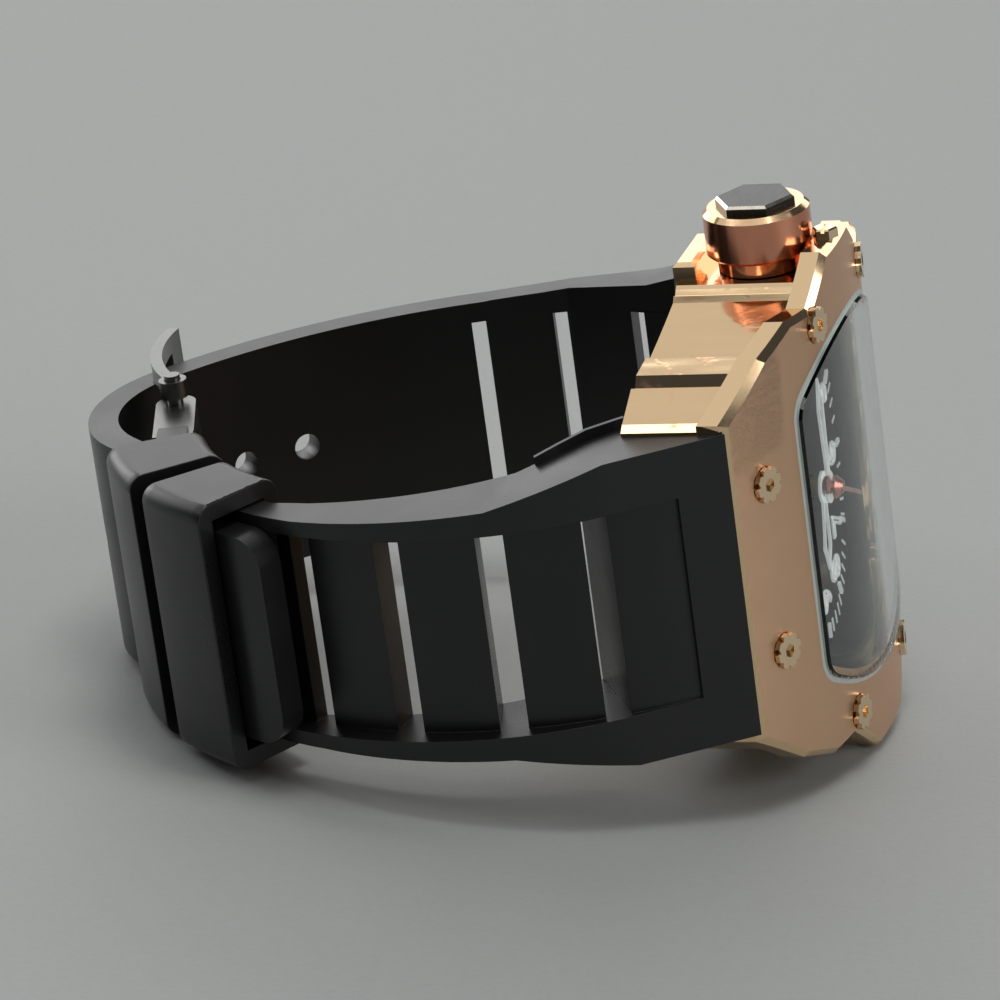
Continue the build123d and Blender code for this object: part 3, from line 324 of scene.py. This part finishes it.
def satin_gold():
    """Brushed rose gold plate, polished on its bevels and rough at one corner as it was cast."""
    look = bpy.context.scene.watch_finish
    made = Finish("satin_rose_gold", Metallic=1.0)
    brush = made.noise(900, 4, 0.6, (1.0, 0.06, 1.0))
    fine = made.noise(5200, 2, 0.5, (1.0, 0.12, 1.0))
    cloud = made.noise(70, 3, 0.55)
    front = made.band(made.facing("X"), 0.78, 0.86)
    ragged = made.noise(260, 3, 0.6) * (2.4 * MM)
    high = made.band(made.along("Z") + ragged, CORNER_LOW, CORNER_LOW + 1.6 * MM)
    near = 1 - made.band(made.along("Y") - ragged, CORNER_END, CORNER_END + 1.2 * MM)
    rough = front * high * near
    scrape = made.noise(800, 5, 0.7, (1.0, 0.6, 1.4))
    tone = made.mix(cloud, tuple(c * 0.88 for c in look.satin_gold), look.satin_gold)
    tone = made.mix(rough * scrape, tone, tuple(c * 0.72 for c in look.satin_gold))
    made.set(Base_Color=made.mix(front, look.bright_gold, tone))
    made.set(Roughness=(0.07 + front * (0.24 + brush * 0.16 + fine * 0.05) - rough * 0.08).limited())
    made.bump(front * (brush * 0.3 + fine * 0.15) + rough * scrape * 3.5, 0.3 + 0.1 * look.scratches, 0.0001)
    return made.material


def bright_gold():
    """Polished rose gold plate over a slightly wavy casting with a few grainy patches."""
    look = bpy.context.scene.watch_finish
    made = Finish("polished_rose_gold", Metallic=1.0)
    wave = made.noise(150, 2, 0.5, (0.3, 1.0, 1.0)) + made.noise(520, 2, 0.5, (0.12, 1.0, 1.0)) * 0.15
    grain = made.noise(2600, 3, 0.6)
    patch = made.band(made.noise(230, 3, 0.6), 0.56, 0.68)
    smear = made.noise(420, 4, 0.6, (0.25, 1.0, 1.0))
    tone = made.mix(smear, tuple(c * 0.9 for c in look.bright_gold), look.bright_gold)
    made.set(Base_Color=made.mix(patch * grain * 0.6, tone, look.copper))
    made.set(Roughness=(0.05 + smear * 0.1 + patch * 0.14).limited())
    made.bump(wave + patch * grain * 0.2 + smear * 0.03, 0.28, 0.0004)
    return made.material


def copper():
    """Glossy copper-coloured plate of the crown, paler on its rim."""
    look = bpy.context.scene.watch_finish
    made = Finish("crown_copper", Metallic=1.0)
    smear = made.noise(500, 4, 0.6, (1.0, 1.0, 0.3))
    specks = made.band(made.cells(1500), 0.0, 0.1)
    rim = made.band(made.facing("Z"), 0.35, 0.6)
    tone = made.mix(smear, tuple(c * 0.8 for c in look.copper), look.copper)
    made.set(Base_Color=made.mix(rim * 0.8, tone, look.bright_gold))
    made.set(Roughness=(0.1 + smear * 0.14 - rim * 0.04).limited())
    made.bump(smear * 0.6 + specks * 0.2, 0.12, 0.0002)
    return made.material


def dark_steel():
    """Dark polished plate of the crown's cap with bright bevels."""
    look = bpy.context.scene.watch_finish
    made = Finish("cap_dark_steel", Specular_IOR_Level=0.25)
    scuff = made.noise(1500, 4, 0.6, (1.0, 0.2, 1.0))
    lift = made.facing("Z")
    bevel = made.band(lift, 0.3, 0.45) * (1 - made.band(lift, 0.88, 0.96))
    made.set(Base_Color=made.mix(bevel, look.dark_cap, (0.85, 0.78, 0.66)), Metallic=bevel)
    made.set(Roughness=(0.16 + scuff * 0.2 - bevel * 0.1).limited())
    made.bump(scuff, 0.05, 0.0001)
    return made.material


def rubber(name, worn):
    """Moulded black rubber with a fine grain, a little dust and shiny rubbed places."""
    look = bpy.context.scene.watch_finish
    made = Finish(name, IOR=1.5, Specular_IOR_Level=0.5)
    grain = made.noise(5200, 2, 0.5)
    mottle = made.noise(120, 5, 0.65)
    dust = made.band(made.noise(2600, 2, 0.6), 0.72, 0.80)
    rubbed = made.band(made.noise(60, 2, 0.5), 0.50, 0.70)
    tone = made.mix(mottle, look.rubber, tuple(c * 1.7 for c in look.rubber))
    made.set(Base_Color=made.mix(dust * (0.10 * worn), tone, (0.20, 0.20, 0.20)))
    made.set(Roughness=(0.24 + mottle * 0.14 + grain * 0.08 - rubbed * (0.08 * worn)).limited())
    made.bump(grain * look.grain + mottle * 0.4, 0.14, 0.0001)
    return made.material


def steel(name, base=0.12):
    """Polished steel with fine scratches."""
    look = bpy.context.scene.watch_finish
    made = Finish(name, Metallic=1.0)
    lines = made.noise(2400, 3, 0.6, (1.0, 1.0, 0.08))
    haze = made.noise(180, 4, 0.6)
    made.set(Base_Color=made.mix(haze, tuple(c * 0.82 for c in look.steel), look.steel))
    made.set(Roughness=(base + lines * 0.16 + haze * 0.08).limited())
    made.bump(lines, 0.08 + 0.1 * look.scratches, 0.00005)
    return made.material


def screw_gold():
    """Bright rose gold of the bezel's screws."""
    look = bpy.context.scene.watch_finish
    made = Finish("screw_rose_gold", Metallic=1.0)
    haze = made.noise(700, 4, 0.6)
    made.set(Base_Color=made.mix(haze, look.bright_gold, (0.98, 0.80, 0.58)))
    made.set(Roughness=(0.05 + haze * 0.14).limited())
    made.bump(haze + made.noise(2200, 2, 0.5) * 0.1, 0.2, 0.0001)
    return made.material


def crystal_glass():
    """Clear crystal that bends the view of the dial, with a pale green frosted edge."""
    made = Finish(
        "crystal_glass",
        Base_Color=(0.95, 0.99, 0.97),
        IOR=1.46,
        Specular_IOR_Level=0.02,
        Transmission_Weight=1.0,
    )
    made.set(Roughness=made.band(made.noise(300, 3, 0.6), 0.5, 0.9) * 0.02)
    edge = {"Base Color": (0.62, 0.74, 0.68), "Roughness": 0.3, "Alpha": 0.8}
    rim = made.node("ShaderNodeBsdfPrincipled", {}, edge)
    side = 1 - made.band(made.facing("X").size(), 0.25, 0.55)
    inputs = {0: side * 0.85, 1: made.out(made.surface, "BSDF"), 2: made.out(rim, "BSDF")}
    blended = made.node("ShaderNodeMixShader", {}, inputs)
    made.tree.links.new(blended.outputs[0], made.sheet.inputs["Surface"])
    return made.material


def dial_black():
    """Matte black dial with a fine upright grain."""
    made = Finish("dial_black", IOR=1.45, Specular_IOR_Level=0.15)
    grain = made.noise(3600, 3, 0.6, (1.0, 0.1, 1.0))
    cloud = made.noise(90, 3, 0.5)
    made.set(Base_Color=made.mix(grain, (0.006, 0.008, 0.010), (0.02, 0.024, 0.028)))
    made.set(Roughness=(0.35 + cloud * 0.2).limited())
    made.bump(grain, 0.15, 0.00008)
    return made.material


def flange_black():
    """Satin black flange round the dial."""
    made = Finish("flange_black", IOR=1.45, Specular_IOR_Level=0.15)
    grain = made.noise(4200, 2, 0.5)
    made.set(Base_Color=made.mix(grain, (0.008, 0.009, 0.011), (0.022, 0.024, 0.028)))
    made.set(Roughness=(0.3 + grain * 0.2).limited())
    made.bump(grain, 0.08, 0.00005)
    return made.material


def silver(name):
    """Silver of hands, bars and numerals, with a weak emission that paints a glow on them, though they are no
    lamp.
    """
    # Painted glow: the emission colour and strength make the silver parts shine on their own on the dark
    # dial.
    made = Finish(name, Metallic=0.2, Emission_Color=(0.9, 0.93, 0.95), Emission_Strength=0.3)
    haze = made.noise(900, 3, 0.6)
    made.set(Base_Color=made.mix(haze, (0.72, 0.73, 0.74), (0.93, 0.93, 0.94)))
    made.set(Roughness=(0.16 + haze * 0.14).limited())
    return made.material


def plain_finish(name, dark, light, metallic, rough):
    """Quiet machined or moulded finish of the inner pieces."""
    made = Finish(name, Metallic=metallic)
    grain = made.noise(1800, 3, 0.6, (1.0, 1.0, 0.15))
    made.set(Base_Color=made.mix(grain, dark, light))
    made.set(Roughness=(rough + grain * 0.18).limited())
    made.bump(grain, 0.08, 0.00005)
    return made.material


# Helpers


def dress(material, *nodes):
    """Gives CAD nodes a material."""
    for name in nodes:
        target = frame["nodes"][name]
        target.data.materials.clear()
        target.data.materials.append(material)


def soften(target, width):
    """Welds a piece, rounds its edges and keeps its large faces flat."""
    weld = target.modifiers.new("weld", "WELD")
    weld.merge_threshold = WELD_REACH
    round_off = target.modifiers.new("edges", "BEVEL")
    round_off.width = width
    round_off.segments = 2
    round_off.limit_method = "ANGLE"
    round_off.angle_limit = radians(SHARP_EDGE)
    round_off.use_clamp_overlap = True
    flat = target.modifiers.new("flat_faces", "WEIGHTED_NORMAL")
    flat.weight = 50


def piece(name, data, material, body):
    """Adds a new piece that rides on a body."""
    made = bpy.data.objects.new(name, data)
    bpy.context.scene.collection.objects.link(made)
    made.data.materials.append(material)
    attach(made, body)
    return made


def soft_copy(node, name, body, material, width):
    """Stands for a rubber node with the same form and rounded edges."""
    data = frame["nodes"][node].data.copy()
    data.name = name
    data.materials.clear()
    form = bmesh.new()
    form.from_mesh(data)
    bmesh.ops.remove_doubles(form, verts=form.verts, dist=SAME_POINT)
    bmesh.ops.dissolve_limit(form, angle_limit=radians(FLAT_EDGE), verts=form.verts, edges=form.edges)
    form.to_mesh(data)
    form.free()
    smooth(data)
    made = piece(name, data, material, body)
    soften(made, width)
    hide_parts(node)
    return made


def about(center, point):
    """Angle in degrees round an upright axis, from the side away from the case, and distance from it."""
    out = point - center
    return degrees(atan2(-out.y, -out.x)), (out.x**2 + out.y**2) ** 0.5


def spot(center, angle, radius, high):
    """Point at an angle and a distance from an upright axis."""
    turn = radians(angle)
    return Vector((center.x - radius * cos(turn), center.y - radius * sin(turn), high))


def thin_wall(name, low, high, thickness):
    """Mesh of a thin upright wall between a lower and an upper row of points."""
    data = bpy.data.meshes.new(name)
    form = bmesh.new()
    rows = []
    for bottom, top in zip(low, high):
        aside = Vector((0, 0, 1)).cross(low[-1] - low[0]).normalized() * (thickness / 2)
        section = (bottom - aside, top - aside * 0.6, top + aside * 0.6, bottom + aside)
        rows.append([form.verts.new(p) for p in section])
    for first, second in zip(rows, rows[1:]):
        for k in range(4):
            form.faces.new((first[k], first[(k + 1) % 4], second[(k + 1) % 4], second[k]))
    form.faces.new(rows[0])
    form.faces.new(rows[-1][::-1])
    bmesh.ops.recalc_face_normals(form, faces=form.faces)
    form.to_mesh(data)
    form.free()
    return data


def smooth(mesh):
    """Shades every face of a mesh smooth."""
    for polygon in mesh.polygons:
        polygon.use_smooth = True


class WatchOperator(bpy.types.Operator):
    """Base of the watch's operators."""

    bl_options = {"REGISTER", "UNDO"}


class WATCH_OT_case(WatchOperator):
    """Finish the bezel, the band and the back"""

    bl_idname = "watch.case"
    bl_label = "Case"

    def execute(self, context):
        dress(satin_gold(), "bezel")
        dress(bright_gold(), "case_middle")
        dress(plain_finish("back_rose_gold", (0.74, 0.48, 0.30), (0.88, 0.60, 0.38), 1.0, 0.22), "case_back")
        return {"FINISHED"}


class WATCH_OT_screws(WatchOperator):
    """Finish the screws of the front, guard and back"""

    bl_idname = "watch.screws"
    bl_label = "Screws"

    def execute(self, context):
        dress(screw_gold(), "bezel_screws", "guard_screw", "case_back_screws")
        return {"FINISHED"}


class WATCH_OT_crown(WatchOperator):
    """Finish the crown, its cap and the parts inside it"""

    bl_idname = "watch.crown"
    bl_label = "Crown"

    def execute(self, context):
        dress(copper(), "crown")
        dress(dark_steel(), "crown_cap")
        dress(steel("stem_steel", 0.25), "crown_tube", "crown_stem", "setting_lever")
        return {"FINISHED"}


class WATCH_OT_crystal(WatchOperator):
    """Finish the crystal and the seals"""

    bl_idname = "watch.crystal"
    bl_label = "Crystal"

    def execute(self, context):
        dress(crystal_glass(), "crystal")
        dress(plain_finish("pale_seal", (0.42, 0.45, 0.42), (0.6, 0.63, 0.6), 0.0, 0.35), "front_gasket")
        seal = plain_finish("seal_rubber", (0.01, 0.01, 0.01), (0.03, 0.03, 0.03), 0.0, 0.5)
        dress(seal, "back_gasket", "crown_gasket")
        return {"FINISHED"}


class WATCH_OT_dial(WatchOperator):
    """Make the dial's print, numerals and ticks"""

    bl_idname = "watch.dial"
    bl_label = "Dial"

    def execute(self, context):
        sizes = context.scene.watch_dial
        dress(dial_black(), "dial")
        dress(flange_black(), "chapter_ring")
        bright = silver("index_silver")
        dress(bright, "applied_indices")
        data = bpy.data.meshes.new("minute_ticks")
        form = bmesh.new()
        for step in range(sizes.tick_count):
            turn = 2 * pi * step / sizes.tick_count
            if step % 5 == 0:
                continue
            place = self.on_track(turn, sizes.track_width, sizes.track_length)
            self.add_bar(form, place, turn, sizes.tick_length, sizes.tick_width, TICK_HEIGHT)
        form.to_mesh(data)
        form.free()
        piece("minute_ticks", data, bright, "case")
        for hour in range(1, 13):
            turn = 2 * pi * hour / 12
            inner = 1 - NUMERAL_INSET_LONG / sizes.track_length
            place = self.on_track(turn, sizes.track_width - NUMERAL_INSET_WIDE, sizes.track_length * inner)
            self.add_numeral(str(hour), place, sizes, bright)
        return {"FINISHED"}

    def on_track(self, turn, half_width, half_length):
        """Point on the rounded track, clockwise from 12 o'clock."""
        across = abs(sin(turn)) ** TRACK_SQUARENESS * (1 if sin(turn) >= 0 else -1)
        along = abs(cos(turn)) ** TRACK_SQUARENESS * (1 if cos(turn) >= 0 else -1)
        return Vector((DIAL_FACE, -half_length * along, HAND_AXIS.z + half_width * across))

    def add_bar(self, form, place, turn, length, width, height):
        """One low bar that points at the middle of the dial."""
        out = Vector((0, -cos(turn), sin(turn)))
        aside = Vector((0, sin(turn), cos(turn)))
        rise = Vector((height, 0, 0))
        corners = ((1, 1), (1, -1), (-1, -1), (-1, 1))
        low = [place + out * a * length / 2 + aside * b * width / 2 for a, b in corners]
        ring = [form.verts.new(p - rise * 0.2) for p in low]
        top = [form.verts.new(p + rise) for p in low]
        form.faces.new(top)
        for k in range(4):
            form.faces.new((ring[k], ring[(k + 1) % 4], top[(k + 1) % 4], top[k]))

    def add_numeral(self, text, place, sizes, material):
        """One open numeral, drawn as a raised outline."""
        data = bpy.data.curves.new("numeral_" + text, "FONT")
        data.body = text
        data.size = sizes.numeral_size
        data.align_x = "CENTER"
        data.align_y = "CENTER"
        data.fill_mode = "NONE"
        data.resolution_u = 4
        data.bevel_depth = sizes.numeral_line
        data.bevel_resolution = 1
        made = piece("numeral_" + text, data, material, "case")
        turn = Matrix(((0, 0, 1), (0, -1, 0), (1, 0, 0))).to_4x4()
        made.matrix_world = Matrix.Translation(place + Vector((sizes.numeral_line, 0, 0))) @ turn


class WATCH_OT_hands(WatchOperator):
    """Finish the hands and their posts"""

    bl_idname = "watch.hands"
    bl_label = "Hands"

    def execute(self, context):
        dress(silver("hand_silver"), "hour_hand", "minute_hand")
        dress(plain_finish("hub_rose_gold", (0.62, 0.2, 0.17), (0.85, 0.38, 0.32), 0.9, 0.2), "second_hand")
        dress(steel("post_steel", 0.3), "cannon_pinion", "seconds_pinion")
        return {"FINISHED"}


class WATCH_OT_movement(WatchOperator):
    """Finish the movement and what holds it"""

    bl_idname = "watch.movement"
    bl_label = "Movement"

    def execute(self, context):
        brass = plain_finish("movement_brass", (0.55, 0.42, 0.2), (0.8, 0.65, 0.36), 1.0, 0.25)
        dress(brass, "movement_plate", "hour_wheel")
        dress(steel("movement_steel", 0.3), "movement_cover", "strap_pin_short", "strap_pin_long")
        dress(plain_finish("cell_steel", (0.55, 0.55, 0.55), (0.75, 0.75, 0.74), 1.0, 0.2), "battery_cell")
        plastic = plain_finish("holder_plastic", (0.25, 0.25, 0.26), (0.34, 0.34, 0.35), 0.0, 0.45)
        dress(plastic, "movement_ring")
        return {"FINISHED"}


class WATCH_OT_strap(WatchOperator):
    """Make the two rubber halves with soft moulded edges"""

    bl_idname = "watch.strap"
    bl_label = "Strap"

    def execute(self, context):
        sizes = context.scene.watch_strap
        material = rubber("strap_rubber", 1.0)
        short = soft_copy("strap_short", "short_half", "case", material, sizes.edge_round)
        long = soft_copy("strap_long", "long_half", "case", material, sizes.edge_round)
        for vertex in short.data.vertices:
            angle, radius = about(RING, vertex.co)
            reach = SLOT_PULL_REACH if angle > SLOT_PULL_MIDDLE else SLOT_PULL_BEFORE
            share = max(0.0, 1 - abs(angle - SLOT_PULL_MIDDLE) / reach)
            turned = angle - sizes.slot_pull * share * share * (3 - 2 * share)
            self.turn(vertex, RING, turned, radius)
        for vertex in long.data.vertices:
            angle, radius = about(LONG_ARC, vertex.co)
            for number in range(LONG_SLOTS):
                middle = LONG_SLOT_FIRST + LONG_SLOT_STEP * number
                if vertex.co.y > 0 and abs(angle - middle) < LONG_SLOT_REACH:
                    self.turn(vertex, LONG_ARC, middle + (angle - middle) * sizes.slot_share, radius)
        low = [Vector(point) * MM for point in RIB_LINE]
        high = [point + Vector((0, 0, sizes.rib_height)) for point in low]
        wall = thin_wall("strap_rib", low, high, RIB_THICKNESS)
        piece("strap_rib", wall, material, "case")
        return {"FINISHED"}

    def turn(self, vertex, center, angle, radius):
        """Moves a point round an upright axis."""
        vertex.co.x, vertex.co.y, _ = spot(center, angle, radius, 0)


class WATCH_OT_keepers(WatchOperator):
    """Make the two rubber keepers and the flash on the free one"""

    bl_idname = "watch.keepers"
    bl_label = "Keepers"

    def execute(self, context):
        width = context.scene.watch_strap.keeper_round
        material = rubber("keeper_rubber", 1.3)
        soft_copy("keeper_fixed", "fixed_loop", "case", material, width)
        soft_copy("keeper_free", "free_loop", "free_keeper", material, width)
        self.add_flash(material)
        return {"FINISHED"}

    def add_flash(self, material):
        """Fine uneven flash of moulding along the free loop's upper edge."""
        points = [v.co for v in frame["nodes"]["keeper_free"].data.vertices]
        top = max(p.z for p in points)
        places = [about(RING, p) for p in points if p.z > top - TOP_FACE_REACH]
        end = max(angle for angle, _ in places) - FLASH_INSET
        inner = min(radius for _, radius in places)
        outer = max(radius for _, radius in places)
        chance = Random(7)
        low, high = [], []
        for step in range(FLASH_STEPS + 1):
            radius = inner + (outer - inner) * step / FLASH_STEPS
            rise = (0.02 + 0.07 * chance.random()) * MM
            low.append(spot(RING, end, radius, top - FLASH_ROOT))
            high.append(spot(RING, end + 0.06 * chance.random(), radius, top + rise))
        wall = thin_wall("loop_flash", low, high, FLASH_THICKNESS)
        piece("loop_flash", wall, material, "free_keeper")


class WATCH_OT_buckle(WatchOperator):
    """Finish the buckle"""

    bl_idname = "watch.buckle"
    bl_label = "Buckle"

    def execute(self, context):
        dress(steel("buckle_steel", 0.2), "buckle_frame", "buckle_tongue", "buckle_bar", "buckle_end_piece")
        return {"FINISHED"}


class WATCH_OT_stage(WatchOperator):
    """Set the camera, the floor and the lights"""

    bl_idname = "watch.stage"
    bl_label = "Stage"

    def execute(self, context):
        sizes = context.scene.watch_stage
        self.add_camera(context, sizes)
        self.add_floor(sizes)
        self.add_lights(context, sizes)
        return {"FINISHED"}

    def add_camera(self, context, sizes):
        """Camera at the photograph's place, looking straight at its middle."""
        turn = radians(sizes.azimuth)
        lift = radians(sizes.elevation)
        lean = radians(sizes.roll)
        back = Vector((sin(turn) * cos(lift), -cos(turn) * cos(lift), sin(lift)))
        right = Vector((cos(turn), sin(turn), 0))
        up = Vector((-sin(turn) * sin(lift), cos(turn) * sin(lift), cos(lift)))
        level = right * cos(lean) - up * sin(lean)
        high = right * sin(lean) + up * cos(lean)
        focus = sizes.lens / SENSOR_WIDTH * 2 * FRAME_MIDDLE
        aim = back * -focus - level * (AIM_X - FRAME_MIDDLE) - high * (FRAME_MIDDLE - AIM_Y)
        pivot = Vector(PIVOT)
        place = pivot + back * sizes.distance
        ahead = aim.normalized()
        turned = Matrix((level, high, back)).transposed()
        swing = back.rotation_difference(-ahead)
        data = bpy.data.cameras.new("camera")
        data.sensor_width = SENSOR_WIDTH
        data.lens = sizes.lens
        data.clip_start = 0.01
        made = bpy.data.objects.new("camera", data)
        made.matrix_world = Matrix.Translation(place) @ (swing.to_matrix() @ turned).to_4x4()
        context.scene.collection.objects.link(made)
        context.scene.camera = made

    def add_floor(self, sizes):
        """Pale floor under the guard, the buckle and the strap."""
        made = Finish("floor_grey")
        speck = made.noise(1400, 6, 0.7)
        made.set(Base_Color=made.mix(speck, tuple(c * 0.86 for c in sizes.floor_color), sizes.floor_color))
        made.set(Roughness=0.62)
        made.bump(speck, 0.2, 0.0003)
        data = bpy.data.meshes.new("floor")
        side = FLOOR_NORMAL.orthogonal().normalized()
        other = FLOOR_NORMAL.cross(side)
        signs = ((1, 1), (-1, 1), (-1, -1), (1, -1))
        corners = [FLOOR_POINT + (side * a + other * b) * FLOOR_REACH for a, b in signs]
        data.from_pydata(corners, [], [(0, 1, 2, 3)])
        data.materials.append(made.material)
        floor = bpy.data.objects.new("floor", data)
        bpy.context.scene.collection.objects.link(floor)

    def add_lights(self, context, sizes):
        """Soft boxes above, at the right, behind and at the left, and an even surround."""
        world = bpy.data.worlds.new("studio")
        world.use_nodes = True
        world.node_tree.nodes["Background"].inputs[0].default_value = (0.8, 0.85, 0.9, 1)
        world.node_tree.nodes["Background"].inputs[1].default_value = 0.07
        context.scene.world = world
        context.scene.view_settings.view_transform = "Standard"
        boxes = (
            ("key", (-0.2, 0.1, 1.1), (2.0, 1.7), sizes.light_power * 1.35),
            ("small", (0.15, 0.0, 0.9), (0.3, 0.3), sizes.light_power * 0.45),
            ("strip", (-0.25, -0.45, 0.9), (1.2, 0.1), sizes.light_power * 0.15),
            ("side", (0.85, -0.15, 0.3), (0.5, 0.6), sizes.light_power * 0.6),
            ("rear", (-0.4, 1.3, 0.6), (2.4, 0.9), sizes.light_power * 2.1),
            ("fill", (-0.9, 0.45, 0.4), (0.6, 0.6), sizes.light_power * 0.4),
        )
        for name, place, size, power in boxes:
            data = bpy.data.lights.new(name, "AREA")
            data.shape = "RECTANGLE"
            data.size, data.size_y = size
            data.energy = power
            made = bpy.data.objects.new(name, data)
            made.location = place
            ahead = Vector(LIGHTS_AIM) - Vector(place)
            made.rotation_euler = ahead.to_track_quat("-Z", "Y").to_euler()
            context.scene.collection.objects.link(made)


class WATCH_PT_panel(bpy.types.Panel):
    """Buttons and sizes of the watch"""

    bl_idname = "WATCH_PT_panel"
    bl_label = "Tonneau wristwatch"
    bl_space_type = "VIEW_3D"
    bl_region_type = "UI"
    bl_category = "Watch"

    def draw(self, context):
        for operator in OPERATORS:
            self.layout.operator(operator.bl_idname)
        for group_name in GROUPS:
            group = getattr(context.scene, group_name)
            for name in group.bl_rna.properties.keys():
                if name not in {"rna_type", "name"}:
                    self.layout.prop(group, name)


GROUPS = {
    "watch_finish": WatchFinish,
    "watch_dial": WatchDial,
    "watch_strap": WatchStrap,
    "watch_stage": WatchStage,
}
OPERATORS = (
    WATCH_OT_case,
    WATCH_OT_screws,
    WATCH_OT_crown,
    WATCH_OT_crystal,
    WATCH_OT_dial,
    WATCH_OT_hands,
    WATCH_OT_movement,
    WATCH_OT_strap,
    WATCH_OT_keepers,
    WATCH_OT_buckle,
    WATCH_OT_stage,
)


def register():
    """Registers the classes and hangs the sizes on the scene."""
    for name, group in GROUPS.items():
        bpy.utils.register_class(group)
        setattr(bpy.types.Scene, name, PointerProperty(type=group))
    for operator in OPERATORS:
        bpy.utils.register_class(operator)
    bpy.utils.register_class(WATCH_PT_panel)


def unregister():
    """Takes the classes and the sizes away again."""
    bpy.utils.unregister_class(WATCH_PT_panel)
    for operator in reversed(OPERATORS):
        bpy.utils.unregister_class(operator)
    for name, group in GROUPS.items():
        delattr(bpy.types.Scene, name)
        bpy.utils.unregister_class(group)


def main():
    """Dresses the watch."""
    register()
    for operator in OPERATORS:
        area, name = operator.bl_idname.split(".")
        getattr(getattr(bpy.ops, area), name)()


if __name__ == "__main__":
    main()
